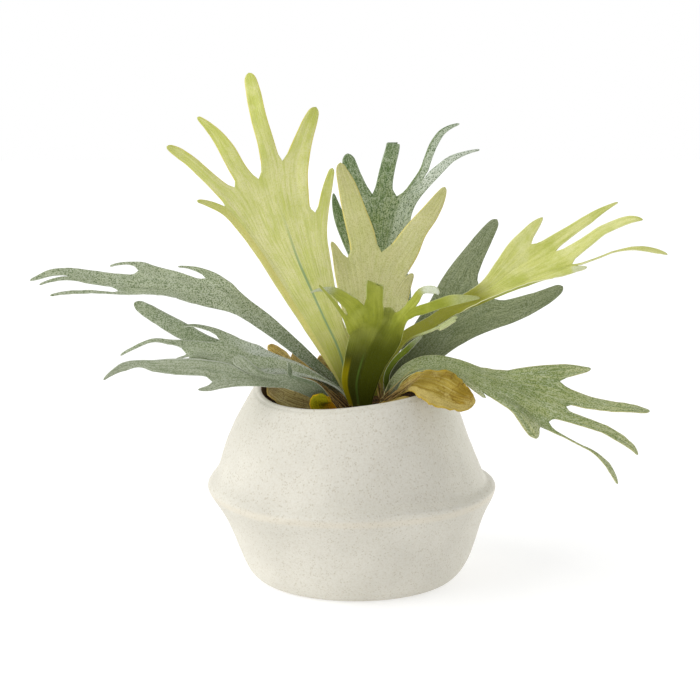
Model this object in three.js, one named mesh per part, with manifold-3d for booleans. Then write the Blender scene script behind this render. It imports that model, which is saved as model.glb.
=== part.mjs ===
// Potted staghorn fern, in millimetres: antler-shaped fronds and papery basal leaves
// on a fibrous crown, in soil, in a stoneware pot with one belt ridge.
// +Z is up, +X to the right and +Y away from the front. The origin is the centre of the pot's base.

import * as THREE from 'three';
import Module from 'manifold-3d';

// Radii of the pot and heights of its belt and rim; the belt's radius is without its lip.
const POT = { foot: 73.7, side: 77.2, belt: 102.7, beltZ: 66.5, rim: 72.7, rimZ: 146.5, wall: 5, floor: 8 };
const FOOT_ROUNDING = 15; // height of the curve from the base to the side
const SIDE_CURVE = 0.69; // power of the curve from the foot out to the belt
const SHOULDER_CURVE = 0.38; // how far the shoulder bulges out of a straight cone
const LIP = { out: 6.3, below: 16, above: 6.2, skew: 3.6 }; // the belt's lip fades faster at the right
const LEAN = { below: 3.6, above: -2.4, span: 100 }; // sideways lean of the lower and upper half
const OVAL = -2; // how far the rim is out of round
const RIM_WAVE = { from: 105, span: 40, level: -0.5, right: 2.5, back: 2.6, corners: -3 }; // rise of the rim
const BELT_WAVE = { reach: 22, level: 3.2, crest: 3.4, crestAt: 5.06, crestWidth: 0.45,
  dip: 3.9, dipAt: 4.1, dipWidth: 0.22 }; // rise of the belt round the pot, at angles in radians
const SEGMENTS = 36;
const SOIL_Z = 127;
const SOIL_MOUND = 1.5; // how far the soil's top stands above its edge
const CROWN = { x: 6, y: -8, radius: 40, bottom: 113, top: 138.5 };
const CROWN_EDGE_Z = 129; // height of the crown's edge
const FOOT_Z = 121; // height at which every stalk ends inside the crown

const BLADE = 1.1; // thickness of a blade
const STALK_THICKNESS = 1.9; // at the foot of a stalk
const STALK_LENGTH = 80; // distance over which a stalk thins to its blade
const ROW_STEP = 13; // spacing of the rows along a frond
const SAME_ROW = 0.2; // rows closer than this are one
const TIP_CROWDING = 1.35; // power that crowds the rows towards a lobe's tip
const TIP_ROUND = 1.6; // length of a lobe's rounded end, in its own half widths
const SINUS = 6; // length over which the cut between two lobes rounds out
const CUT_CARE = 25; // length past a cut over which a lobe's edge keeps off the seam
const CUT_ROOM = 0.3; // how far it keeps off
const SETTLE = 35; // length over which a lobe leaves the plane of its neighbour
const SLOT_GAP = 0.45; // clearance of a stalk in its slot in the crown
const SLOT_LENGTH = 28; // length of stalk that the slot follows
const SEAT_GAP = 0.35; // gap between the pot, the soil and the crown
const SIMPLER = 0.05; // how far the crown's facets may be evened out

// The reference view: where its camera stands, how far it looks down, and its scale in pixels.
const VIEW = { x: -1.2, y: -1300, z: 415, tilt: THREE.MathUtils.degToRad(10.59), focal: 1763, middle: 350 };

const LIME = { color: 0xc5cb7c, roughness: 0.6, metalness: 0 };
const KHAKI = { color: 0xc4bd88, roughness: 0.8, metalness: 0 };
const OLIVE = { color: 0x949c2c, roughness: 0.6, metalness: 0 };
const SILVER = { color: 0x8fa488, roughness: 0.8, metalness: 0 };
const GREY_GREEN = { color: 0x6b7a5c, roughness: 0.7, metalness: 0 };
const MUSTARD = { color: 0xab9238, roughness: 0.75, metalness: 0 };
const PAPERY = { color: 0x8c7d46, roughness: 0.8, metalness: 0 };

// A frond is a stalk that spreads into lobes, laid through points chosen by eye in the reference view.
// A row is across, down (pixels), depth (millimetres, + away), half width (pixels), and in a channelled
// stalk how far its two edges rise (millimetres). foot is x, y where the stalk ends in the crown.
// face is the way the upper side looks. Lobes run from left to right as seen on the upper side, and
// notches are the points, in pixels, where neighbouring lobes part.
const FRONDS = {
  frond_tall_lime: {
    look: LIME, face: [[0.1, 1, 0.2]], foot: [3, -12],
    stalk: [[353, 404, -14, 5], [346, 381, -20, 8], [337, 352, -28, 16], [320.5, 318, -36, 21]],
    lobes: [
      { path: [[326, 262, -40, 5], [322, 234, -42, 5], [323.5, 210, -42, 5.5], [327, 190, -40, 5],
        [332.5, 168, -36, 2.5]] },
      { path: [[312, 262, -43, 8], [303, 228, -46, 10], [297, 196, -48, 12], [296, 175, -48, 12],
        [298, 158, -47, 11.5], [304, 138, -44, 9], [311, 119, -40, 7], [316, 107, -36, 4]] },
      { path: [[299, 262, -45, 8], [287, 228, -50, 10], [277, 195, -53, 11], [271, 165, -54, 10],
        [266, 143, -54, 8.5], [259, 119, -52, 8], [253, 91, -48, 7.5], [249, 73, -44, 5]] },
      { path: [[287, 265, -46, 8], [270, 235, -52, 9], [257, 205, -57, 9], [247, 183, -60, 9],
        [236.5, 167, -62, 8.5], [226, 148, -64, 8], [213, 131, -64, 5.5], [197.5, 117, -62, 2]] },
      { path: [[277, 268, -46, 8], [260, 243, -53, 8], [243, 216, -60, 8], [229, 197, -64, 8],
        [211, 180, -70, 6.5], [193, 163.5, -76, 6], [176, 151, -80, 5], [166.5, 146.5, -82, 2]] },
      { path: [[277, 279, -46, 5], [259, 251, -53, 5], [242, 229, -60, 4.5], [225, 211.5, -66, 4],
        [208, 203.5, -72, 3], [197, 201, -76, 1.5]] },
    ],
    notches: [[317.5, 211.5], [285, 158.5], [256, 179], [234.5, 186.5], [225.5, 206]],
  },
  frond_pale_centre: {
    look: KHAKI, face: [[0, -1, 0.1], [0, -1, 0.3]], foot: [10, 2],
    stalk: [[368, 402, 2, 6], [372, 372, 4, 12], [374, 335, 8, 26], [374, 300, 12, 34]],
    lobes: [
      { path: [[342, 268, 16, 8], [337, 254, 18, 5], [331.5, 241.5, 20, 1.5]] },
      { path: [[364, 262, 18, 12], [362.5, 240, 22, 13.5], [355, 214, 26, 12], [347, 186, 32, 9],
        [341.5, 170, 36, 5.5], [340.5, 162.5, 38, 3]] },
      { path: [[390, 275, 18, 14], [405, 250, 22, 14], [416, 231, 26, 11], [430, 213, 30, 9],
        [439.5, 198, 34, 6], [445, 187, 37, 2]] },
      { path: [[400, 296, 14, 9], [406, 284, 16, 6], [413, 273.5, 18, 2]] },
    ],
    notches: [[351, 255.5], [387, 247], [406, 274]],
  },
  frond_front_olive: {
    look: OLIVE, face: [[0, 1, 0.1]], foot: [8, -26],
    stalk: [[360.5, 405, -30, 11.5], [359.5, 384, -36, 18], [365, 362, -43, 21], [375, 337, -52, 26]],
    lobes: [
      { path: [[402, 320, -60, 5.5], [412, 312.5, -63, 5], [423, 309.5, -66, 5], [437, 304.5, -70, 5],
        [452, 300, -72, 5.5], [467, 298.5, -73, 3.5], [480, 298, -73, 1]] },
      { path: [[401, 317, -60, 6], [408.5, 307, -62, 6.5], [415, 299, -64, 5], [421.5, 291, -66, 3.5],
        [430, 289.5, -70, 4], [436.5, 291, -73, 3.5], [438.5, 295, -74, 1.5]] },
      { path: [[388, 320, -54, 6], [389, 312, -50, 6], [390, 308, -44, 5], [391, 312, -38, 2]] },
      { path: [[375, 318, -58, 9], [375, 302, -59, 9], [375, 288, -58, 9], [375, 283.5, -54, 8.5],
        [375, 285, -47, 7], [375, 292, -42, 3]] },
      { path: [[361, 317, -59, 7], [353, 306, -62, 8], [343, 297.5, -66, 6.5], [333, 291, -69, 4.5],
        [321, 289.5, -71, 2], [310.5, 293, -72, 1]] },
      { path: [[353, 333, -56, 5], [346, 320, -61, 2.5], [337, 306, -68, 2], [328, 295, -75, 1.5],
        [319, 285, -80, 1]] },
    ],
    notches: [[418, 307], [396, 315], [384, 316], [360.5, 304], [345, 317]],
  },
  frond_back_dark: {
    look: SILVER, face: [[0, -1, 0.1], [0, -1, 0.35]], foot: [16, 17],
    stalk: [[374, 398, 20, 6], [378, 350, 28, 14], [385, 300, 38, 26], [379, 262, 46, 27]],
    lobes: [
      { path: [[350, 240, 50, 8], [341, 222, 53, 6], [336, 206, 56, 4], [333.5, 193, 59, 1]] },
      { path: [[364, 222, 54, 13], [358, 196, 58, 12], [352, 175, 63, 9], [348.5, 160, 67, 6.5],
        [347.5, 153.5, 69, 4]] },
      { path: [[381, 220, 55, 11], [383, 195, 59, 9], [385.5, 178, 62, 8], [389, 162, 66, 7.5],
        [392.5, 149, 71, 7], [393, 144, 77, 6.5], [393, 147, 84, 3]] },
      { path: [[398, 222, 55, 10], [406, 202, 59, 7.5], [416, 185.5, 63, 6], [423.5, 171.5, 65, 4.5],
        [428.5, 157, 67, 4], [434.5, 143, 70, 4], [443, 131.5, 74, 3], [459.5, 124, 78, 1]] },
      { path: [[403, 238, 52, 8], [404, 217, 56, 7], [411, 199, 60, 7], [424, 184, 63, 6],
        [438.5, 170, 65, 5], [451.5, 159, 67, 3.5], [465.5, 153, 70, 2], [479.5, 150, 73, 1]] },
    ],
    notches: [[345, 214], [368, 191], [395, 193], [422.5, 179]],
  },
  frond_right_back: {
    look: GREY_GREEN, face: [[0.3, 1, 0.3]], foot: [22, 4],
    stalk: [[386, 396, 6, 6], [405, 372, 10, 13], [430, 340, 16, 22]],
    lobes: [
      { path: [[455, 331, 18, 15], [470, 324, 19, 14], [487, 317, 20, 14], [509, 311.5, 20, 12],
        [531, 303.5, 20, 10], [549, 295, 20, 7.5], [563, 286.5, 21, 4]] },
      { path: [[446, 309, 22, 18], [455.5, 288, 26, 16.5], [465, 270, 30, 14], [474, 254.5, 34, 11],
        [484, 238.5, 38, 8.5], [493, 225, 42, 5.5], [497, 219.5, 44, 3]] },
    ],
    notches: [[496, 294]],
  },
  frond_right_lime: {
    look: LIME, face: [[0, -0.8, 0.6]], foot: [20, -4],
    stalk: [[378, 394, -3, 4], [389, 360, -6, 5], [405, 337, -8, 6], [431, 324, -10, 8], [455, 309, -12, 9]],
    lobes: [
      { path: [[484, 286, -12, 5], [502, 265, -10, 7], [515, 248, -8, 8], [526, 236, -6, 7],
        [535, 225.5, -4, 5], [543, 217.5, -2, 1]] },
      { path: [[487, 290, -13, 5], [512, 271, -12, 7], [535, 254.5, -11, 8], [554, 242.5, -10, 7.5],
        [571.5, 230.5, -9, 6], [589.5, 218.5, -8, 5], [604.5, 209, -7, 3], [618, 202.5, -6, 1]] },
      { path: [[488, 294, -15, 4], [515, 280, -16, 6], [545, 266, -17, 8], [567, 255, -18, 8],
        [585, 243, -20, 6.5], [602, 230.5, -22, 5.5], [620, 222.5, -24, 5], [632, 219, -26, 4],
        [643, 219.5, -28, 1]] },
      { path: [[489, 297, -17, 3], [520, 284, -19, 4], [550, 273, -21, 4], [568, 268.5, -22, 2.5],
        [582, 264, -23, 1.5], [598, 258, -24, 1], [614, 251.5, -25, 1], [631, 248.5, -26, 2],
        [646, 249, -27, 3], [658, 251.5, -28, 2.5], [667.5, 254.5, -29, 1]] },
      { face: [[0, 0.7, 0.7], [0, 0.8, 0.6], [0, 0.5, 0.8], [0, -0.2, 1], [0, -0.8, 0.6]],
        path: [[480, 303.5, -22, 2.5], [511, 291.5, -25, 3], [531, 284.5, -27, 4], [550, 277.5, -29, 4.5],
          [565, 271, -30, 5], [577, 267.5, -30, 5], [587, 267.5, -30, 2]] },
      { path: [[438, 330.5, -17, 1.6], [445, 326.5, -19, 1.6], [451, 323, -21, 1.2], [456, 320, -22, 0.8]] },
    ],
    notches: [[533, 243.5], [555.5, 250.5], [571, 262], [572, 266], [434, 331]],
  },
  frond_left_high: {
    look: SILVER, face: [[0, -0.8, 0.6]], foot: [1, -6],
    stalk: [[349, 395, -8, 5], [330, 377, -13, 5], [312, 361.5, -18, 6], [291.5, 343.5, -24, 7.5],
      [264.5, 322, -28, 9.5], [239.5, 305, -32, 11.5]],
    lobes: [
      { path: [[218, 303.5, -38, 6], [195, 299.5, -44, 6], [170, 295, -50, 5.5], [145, 293, -54, 4],
        [119, 293.5, -56, 2], [90, 292, -58, 2], [68, 292.5, -59, 2], [50, 295.5, -60, 1]] },
      { path: [[216, 297, -37, 4], [190, 293, -41, 4.5], [160, 290, -44, 5], [135, 288.5, -45, 5],
        [112, 285, -46, 4], [92, 281.5, -47, 3.5], [75, 278.5, -48, 2.5], [57, 279, -49, 2],
        [39.5, 285, -50, 1]] },
      { path: [[216, 292, -36, 5], [188, 286, -39, 6], [160, 282, -41, 6.5], [135, 280, -42, 6],
        [110, 277.5, -43, 5.5], [90, 274.5, -44, 5], [70, 272, -45, 4.5], [52, 272.5, -46, 4],
        [38, 277.5, -47, 2.5], [30, 280.5, -48, 1]] },
      { path: [[218, 288, -34, 5], [196, 282.5, -34, 5], [175, 276.5, -33, 6], [155, 270.5, -32, 5],
        [142, 265.5, -31, 4], [130, 263.5, -30, 2], [119, 264, -29, 1.5], [110, 266.5, -28, 1]] },
      { path: [[228, 289, -32, 7], [218, 280, -31, 5.5], [208, 273.5, -29, 4], [197, 269, -27, 2.5],
        [188, 267, -25, 1.5], [178, 266.5, -24, 1]] },
    ],
    notches: [[119, 291.5], [72, 277.5], [137.5, 275.5], [203.5, 282.5]],
  },
  frond_left_dark: {
    look: GREY_GREEN, face: [[0.2, 0.9, 0.3]], foot: [-3, 4],
    stalk: [[346, 400, 2, 4], [329, 385, -8, 4], [304, 371, -16, 4.5], [262, 360, -24, 7]],
    lobes: [
      { path: [[214, 345.5, -28, 8.5], [184, 331.5, -28, 10], [162, 319.5, -28, 9], [146, 310, -28, 8],
        [134, 303, -28, 5]] },
    ],
    notches: [],
  },
  frond_left_mid: {
    look: SILVER, face: [[0, -0.3, 1], [0, -0.2, 1], [0, -0.35, 1], [0, -0.7, 0.8]], foot: [-2, -20],
    stalk: [[350, 403, -24, 5, 1.5], [339, 390, -29, 4.5, 1.5], [322, 379.5, -34, 4.5, 1],
      [302, 371, -39, 7.5], [275, 363.5, -44, 12.5]],
    lobes: [
      { folded: true, face: [[0, -0.8, 0.3], [0, -0.8, -0.2], [0, -0.7, -0.7]],
        path: [[249, 371.5, -54, 4], [232, 369, -58, 4], [221, 364, -61, 5], [209, 359, -63, 5],
          [198, 357, -65, 4], [189, 358, -66, 2]] },
      { face: [[0, -0.7, 0.8], [0, -0.6, 0.8], [0, -0.5, 0.9]],
        path: [[249, 366.5, -52, 6], [227, 362.5, -56, 6], [210, 358, -59, 4.5], [197, 355.5, -61, 2.5],
          [186, 357, -62, 1.5], [174, 361, -63, 1]] },
      { path: [[244, 357, -46, 7], [215, 349.5, -48, 7], [190, 345.5, -49, 6.5], [171, 342.5, -50, 3.5],
        [156, 340.5, -50, 2.5], [145, 342.5, -50, 2], [133, 348, -49, 2], [120.5, 355.5, -48, 1]] },
      { path: [[257, 352.5, -42, 8], [240, 344.5, -40, 6], [225, 336, -38, 5], [210, 329, -36, 3],
        [196, 326, -34, 2], [183, 326.5, -32, 1]] },
    ],
    notches: [[200, 359], [186, 354], [219, 340.5]],
  },
  frond_left_low: {
    look: SILVER, face: [[0, 0.9, 0.4]], foot: [-13, -32],
    stalk: [[329, 408, -37, 5], [322, 398, -42, 7], [311, 389, -48, 9.5], [290, 381.5, -54, 9.5]],
    lobes: [
      { path: [[290.5, 376, -54, 3.5], [289.5, 370, -55, 2.5], [288, 362, -56, 1]] },
      { path: [[263, 377, -60, 6], [252, 373, -62, 8], [244, 366, -64, 8], [238, 360, -66, 7],
        [235, 356.5, -67, 4.5]] },
      { path: [[250, 376, -62, 7], [225, 370, -66, 8], [200, 366.5, -70, 9.5], [177, 366.5, -73, 9.5],
        [156, 365.5, -75, 7.5], [138, 363.5, -76, 4.5], [124, 367, -77, 5], [113, 372.5, -77, 3],
        [103.5, 380, -77, 1]] },
      { path: [[262, 382, -61, 5], [240, 381.5, -64, 5], [222, 384, -67, 4.5], [209, 388, -69, 3],
        [198, 389.5, -70, 1]] },
    ],
    notches: [[284, 370], [252, 369], [210, 380]],
  },
  frond_right_front: {
    look: SILVER, foot: [21, -12],
    face: [[0.6, -0.6, 0.4], [0.3, -0.5, 0.8], [0, -0.5, 0.85], [0, -0.6, 0.8]],
    stalk: [[384, 403, -14, 8, 3], [394, 388, -20, 12.5, 6], [407, 375.5, -28, 13.5, 6],
      [429, 366.5, -36, 11, 5], [456, 368.5, -44, 11, 2]],
    lobes: [
      { path: [[480, 371, -46, 6], [507, 375, -48, 7], [530, 373.5, -50, 7.5], [549, 372, -50, 7.5],
        [567, 371, -50, 7], [581, 370, -50, 4.5], [591, 369, -50, 1.5]] },
      { path: [[480, 375, -50, 6], [507, 382, -54, 8], [530, 386.5, -56, 9], [552, 391.5, -58, 8.5],
        [569, 396.5, -60, 8], [588, 402.5, -62, 7.5], [610, 406, -64, 7], [630, 408, -66, 5.5],
        [643, 410, -66, 3.5], [650, 411, -66, 1.5]] },
      { path: [[480, 379, -54, 6], [505, 389, -60, 8], [530, 400, -64, 8.5], [553, 410.5, -68, 7.5],
        [568, 416.5, -70, 6], [588, 423.5, -73, 5.5], [608, 431, -76, 5], [625, 441.5, -79, 4.5],
        [634, 449, -80, 3], [638, 455, -80, 1]] },
      { path: [[480, 382, -57, 4], [503, 395, -63, 5], [525, 408.5, -68, 5], [541, 421.5, -72, 4],
        [553, 430.5, -75, 2], [567, 438, -78, 1], [582, 446, -80, 1], [597, 454.5, -82, 2],
        [607, 465, -83, 3], [613, 475, -83, 2.5], [617, 484, -83, 1]] },
      { path: [[480, 386, -59, 5], [500, 398, -66, 5], [516, 408, -72, 6.5], [527, 420, -76, 8.5],
        [533, 430, -79, 7.5], [537, 438.5, -81, 4]] },
      { path: [[462, 378, -54, 4], [471, 384, -59, 4.5], [479, 391.5, -63, 3], [485.5, 398, -65, 1]] },
    ],
    notches: [[561, 381], [566, 405], [549, 421], [541, 427], [485, 392.5]],
  },
  leaf_narrow: {
    look: OLIVE, face: [[-0.3, -1, 0.3]], foot: [28, -4],
    stalk: [[388, 400, -6, 3], [387, 375, -10, 3], [395, 361, -13, 3]],
    lobes: [{ path: [[406, 350.5, -15, 3], [415, 342, -16, 2.5], [422.5, 335.5, -17, 1]] }],
    notches: [],
  },
  basal_leaf_right: {
    look: MUSTARD, face: [[0.2, -0.6, 0.75], [0.1, -0.8, 0.6]], foot: [31, -27],
    stalk: [[393, 402, -31, 4.5], [402, 389.5, -42, 5]],
    lobes: [{ path: [[414, 382.5, -53, 10.5], [429, 384, -62, 18.5], [443, 389.5, -67, 22],
      [457, 396, -71, 17.5], [468, 399.5, -72, 11.5], [475.5, 400.5, -71, 5]] }],
    notches: [],
  },
  basal_leaf_small: {
    look: MUSTARD, face: [[0.2, -0.7, 0.6]], foot: [16, -34],
    stalk: [[381, 408, -38, 5]],
    lobes: [{ path: [[394, 403, -47, 4.5], [403, 400.5, -51, 4.5], [411, 398.5, -53, 2.5]] }],
    notches: [],
  },
  basal_leaf_left: {
    look: PAPERY, face: [[0.3, -0.7, 0.6]], foot: [-15, -14],
    stalk: [[323, 407, -19, 9]],
    lobes: [{ path: [[306, 402, -24, 13], [291, 397, -24, 14.5], [279, 391, -19, 12.5],
      [271, 384, -12, 7.5]] }],
    notches: [],
  },
  basal_leaf_back: {
    look: PAPERY, face: [[0.2, -1, 0.2]], foot: [-9, 12],
    stalk: [[336, 399, 13, 13], [322, 384, 14, 19], [307, 372, 14, 21]],
    lobes: [
      { path: [[290, 362.5, 11, 7], [279, 353.5, 9, 5.5], [268, 345.5, 7, 5]] },
      { path: [[304, 365, 14, 8], [298, 359, 13, 7], [292, 353.5, 12, 5]] },
      { path: [[321, 367, 16, 8], [321, 361, 16, 6.5], [319.5, 355.5, 15, 5]] },
    ],
    notches: [[286, 357], [311, 361]],
  },
  leaf_bud: {
    look: OLIVE, face: [[0, -0.9, 0.4]], blade: 2.4, foot: [-8, -35],
    stalk: [[328.5, 408, -43, 7]],
    lobes: [{ path: [[321.5, 405.5, -48, 12], [320.5, 401, -51, 10.5], [321.5, 397, -53, 8.5],
      [322, 393.5, -54, 6]] }],
    notches: [],
  },
};

const add = (a, b, k = 1) => [a[0] + b[0] * k, a[1] + b[1] * k, a[2] + b[2] * k];
const dot = (a, b) => a[0] * b[0] + a[1] * b[1] + a[2] * b[2];
const cross = (a, b) => [a[1] * b[2] - a[2] * b[1], a[2] * b[0] - a[0] * b[2], a[0] * b[1] - a[1] * b[0]];
const length = (a) => Math.sqrt(dot(a, a));
const unit = (a) => a.map((v) => v / (length(a) || 1));
const mix = (a, b, k) => a.map((v, i) => v + (b[i] - v) * k);
const clamp = (v, low, high) => Math.min(high, Math.max(low, v));
const nearest = (list, i) => list[clamp(i, 0, list.length - 1)];

const FORWARD = [0, Math.cos(VIEW.tilt), -Math.sin(VIEW.tilt)];
const UPWARD = [0, Math.sin(VIEW.tilt), Math.cos(VIEW.tilt)];

/** Distance of a point from the reference camera, along its line of sight. */
const distanceTo = (point) => dot(add(point, [VIEW.x, VIEW.y, VIEW.z], -1), FORWARD);

/** Row in millimetres of a point chosen in the reference view. */
function placed([across, down, depth, half, rise = 0]) {
  const level = add(FORWARD, [1, 0, 0], (across - VIEW.middle) / VIEW.focal);
  const ray = add(level, UPWARD, (VIEW.middle - down) / VIEW.focal);
  const point = add([VIEW.x, VIEW.y, VIEW.z], ray, (depth - VIEW.y) / ray[1]);
  return [...point, (half * distanceTo(point)) / VIEW.focal, rise];
}

/** Where the reference view shows a point, in pixels. */
function seen(point) {
  const offset = add(point, [VIEW.x, VIEW.y, VIEW.z], -1);
  const scale = VIEW.focal / dot(offset, FORWARD);
  return [VIEW.middle + scale * offset[0], VIEW.middle - scale * dot(offset, UPWARD)];
}

/** Smooth curve through rows whose first three columns are x, y, z; all columns are carried along. */
class Vein {
  constructor(rows, pieces = 12) {
    const gaps = rows.slice(1).map((row, i) => Math.sqrt(length(add(row, rows[i], -1))));
    const slopes = gaps.map((gap, i) => rows[i + 1].map((v, c) => (v - rows[i][c]) / gap));
    const last = gaps.length;
    const tangents = slopes.slice(1).map((slope, i) => slope.map((v, c) => (
      (slopes[i][c] * gaps[i + 1] + v * gaps[i]) / (gaps[i] + gaps[i + 1]))));
    const ends = [tangents[0], tangents.at(-1)].map((inner, e) => (
      slopes[e === 0 ? 0 : last - 1].map((v, c) => 2 * v - inner[c])));
    const all = [ends[0], ...tangents, ends[1]];
    this.samples = [rows[0]];
    for (let i = 0; i < last; i++) {
      for (let j = 1; j <= pieces; j++) this.samples.push(hermite(rows, all, gaps[i], i, j / pieces));
    }
    this.distances = [0];
    for (let i = 1; i < this.samples.length; i++) {
      this.distances.push(this.distances[i - 1] + length(add(this.samples[i], this.samples[i - 1], -1)));
    }
    this.length = this.distances.at(-1);
  }

  at(distance) {
    const d = clamp(distance, 0, this.length);
    let i = 1;
    while (i < this.distances.length - 1 && this.distances[i] < d) i++;
    const span = this.distances[i] - this.distances[i - 1] || 1;
    return mix(this.samples[i - 1], this.samples[i], (d - this.distances[i - 1]) / span);
  }

  along(distance) {
    return unit(add(this.at(distance + 1), this.at(distance - 1), -1));
  }

  /** Distance along the vein at which the reference view shows it closest to a point. */
  closestTo([across, down]) {
    const away = this.samples.map((sample) => {
      const [x, y] = seen(sample);
      return Math.hypot(x - across, y - down);
    });
    return this.distances[away.indexOf(Math.min(...away))];
  }
}

function hermite(rows, tangents, gap, i, s) {
  const s2 = s * s;
  const s3 = s2 * s;
  return rows[i].map((a, c) => a * (2 * s3 - 3 * s2 + 1) + tangents[i][c] * gap * (s3 - 2 * s2 + s)
    + rows[i + 1][c] * (3 * s2 - 2 * s3) + tangents[i + 1][c] * gap * (s3 - s2));
}

/** Value of a broken line through knots [x, value]. */
function broken(knots, x) {
  let i = 1;
  while (i < knots.length - 1 && knots[i][0] < x) i++;
  const [a, b] = [knots[i - 1], knots[i]];
  return a[1] + (b[1] - a[1]) * clamp((x - a[0]) / (b[0] - a[0]), 0, 1);
}

/** One vein a lobe: through the stalk, side by side, then along the lobe's own path. */
function veinsOf(frond) {
  const upper = frond.stalk.map(placed);
  const stalk = [[...frond.foot, FOOT_Z, upper[0][3], 0], ...upper];
  const count = frond.lobes.length;
  return frond.lobes.map((lobe, k) => {
    const place = (2 * k + 1 - count) / count;
    const rows = stalk.map((row, i) => {
      const face = unit(nearest(frond.face, i - 1));
      const across = unit(cross(unit(add(nearest(stalk, i + 1), nearest(stalk, i - 1), -1)), face));
      const point = add(add(row, across, place * row[3]), face, row[4] * place * place);
      return [...point, row[3] / count, ...face];
    });
    const faces = lobe.face ?? [frond.face.at(-1)];
    const own = lobe.path.map((row, i) => [...placed(row).slice(0, 4), ...unit(nearest(faces, i))]);
    return new Vein([...rows, ...own]);
  });
}

/** For each vein, knots that turn a level shared by the frond's rows into a distance along that vein. */
function warpsOf(veins, cuts, levels) {
  return veins.map((vein, k) => {
    const marks = [];
    if (k > 0) marks.push([levels[k - 1], cuts[k - 1][1]]);
    if (k < levels.length) marks.push([levels[k], cuts[k][0]]);
    marks.sort((a, b) => a[0] - b[0]);
    const knots = [[0, 0]];
    for (const [level, own] of marks) {
      const [before, reached] = knots.at(-1);
      if (level - before >= 3) knots.push([level, Math.max(own, reached + 0.5 * (level - before))]);
    }
    const [before, reached] = knots.at(-1);
    return [...knots, [before + vein.length - reached, vein.length]];
  });
}

/** Levels of the rows that neighbours share, with one at the end of the slot and one at each cut. */
function sharedRows(levels) {
  const rows = [0];
  for (const level of [SLOT_LENGTH, ...levels].sort((a, b) => a - b)) {
    const start = rows.at(-1);
    if (level - start < 0.25) continue;
    const pieces = Math.max(1, Math.round((level - start) / ROW_STEP));
    for (let i = 1; i <= pieces; i++) rows.push(start + ((level - start) * i) / pieces);
  }
  return rows;
}

/** Middle surface of a frond: strips round the veins, sewn together up to the cuts. */
function sheetOf(frond) {
  const veins = veinsOf(frond);
  const count = veins.length;
  const cuts = frond.notches.map((notch, k) => [veins[k], veins[k + 1]].map((vein) => (
    Math.min(vein.closestTo(notch), vein.length - 6))));
  const levels = cuts.map(([a, b]) => (a + b) / 2);
  const warps = warpsOf(veins, cuts, levels);
  const grid = sharedRows(levels);
  const points = [];
  const reach = [];
  const triangles = [];

  /** Direction from vein k to its neighbour, kept from the cut on and eased into the lobe's own side. */
  const sideways = (k, side, level, t, tangent, own) => {
    const at = Math.min(t, level);
    const there = veins[k + side].at(broken(warps[k + side], at));
    const way = unit(add(there, veins[k].at(broken(warps[k], at)), -1));
    const flat = unit(add(way, tangent, -dot(way, tangent)));
    const ease = clamp((t - level) / SETTLE, 0, 1);
    return unit(mix(flat, own.map((v) => v * side), ease * ease * (3 - 2 * ease)));
  };

  /** Edge of strip k towards its neighbour: their seam, then the rounded cut, then the lobe's edge. */
  const innerEdge = (k, side, level, t, row, tangent, own, half) => {
    const other = veins[k + side].at(broken(warps[k + side], t));
    const seam = mix(row.slice(0, 3), other, clamp(row[3] / (row[3] + other[3]), 0.2, 0.8));
    if (t <= level + SAME_ROW) return seam;
    const room = Math.max(length(add(seam, row, -1)) - CUT_ROOM, 0.05);
    const kept = t < level + CUT_CARE ? Math.min(half, room) : half;
    const edge = add(row, sideways(k, side, level, t, tangent, own), kept);
    const x = clamp((t - level) / SINUS, 0, 1);
    return mix(seam, edge, Math.sqrt(x * (2 - x)));
  };

  let previous = null;
  veins.forEach((vein, k) => {
    const joined = Math.max(SLOT_LENGTH, levels[k - 1] ?? 0, levels[k] ?? 0);
    const end = warps[k].at(-1)[0];
    const rows = grid.filter((t) => t <= joined + SAME_ROW);
    const pieces = Math.max(3, Math.round((end - joined) / ROW_STEP));
    for (let i = 1; i <= pieces; i++) {
      rows.push(joined + (end - joined) * (1 - (1 - i / pieces) ** TIP_CROWDING));
    }

    const strip = rows.map((t, r) => {
      const d = broken(warps[k], t);
      const row = vein.at(d);
      const tangent = vein.along(d);
      const own = unit(cross(tangent, row.slice(4, 7)));
      const round = clamp((vein.length - d) / (TIP_ROUND * Math.max(vein.at(vein.length)[3], 0.5)), 0, 1);
      const half = row[3] * Math.sqrt(round * (2 - round));
      const edge = (side) => {
        const level = levels[side < 0 ? k - 1 : k];
        if (level !== undefined) return innerEdge(k, side, level, t, row, tangent, own, half);
        const inner = levels[side < 0 ? k : k - 1];
        if (inner === undefined || frond.lobes[k].folded) return add(row, own, side * half);
        return add(row, sideways(k, -side, inner, t, tangent, own), -half);
      };
      const put = (point) => {
        reach.push(t);
        return points.push(point) - 1;
      };
      if (r === rows.length - 1) return Array(3).fill(put(row.slice(0, 3)));
      const left = previous && t <= levels[k - 1] + SAME_ROW ? previous[r][2] : put(edge(-1));
      return [left, put(row.slice(0, 3)), put(edge(1))];
    });
    for (let r = 1; r < strip.length; r++) {
      for (const c of [0, 1]) {
        const [a, b, e, f] = [strip[r - 1][c], strip[r - 1][c + 1], strip[r][c + 1], strip[r][c]];
        triangles.push([a, b, e], [a, e, f]);
      }
    }
    previous = strip;
  });
  const whole = triangles.filter(([a, b, c]) => a !== b && b !== c && a !== c);
  return { points, normals: normalsOf(points, whole), reach, triangles: whole };
}

function normalsOf(points, triangles) {
  const normals = points.map(() => [0, 0, 0]);
  for (const [a, b, c] of triangles) {
    const normal = cross(add(points[b], points[a], -1), add(points[c], points[a], -1));
    for (const v of [a, b, c]) normals[v] = add(normals[v], normal);
  }
  return normals.map(unit);
}

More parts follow.
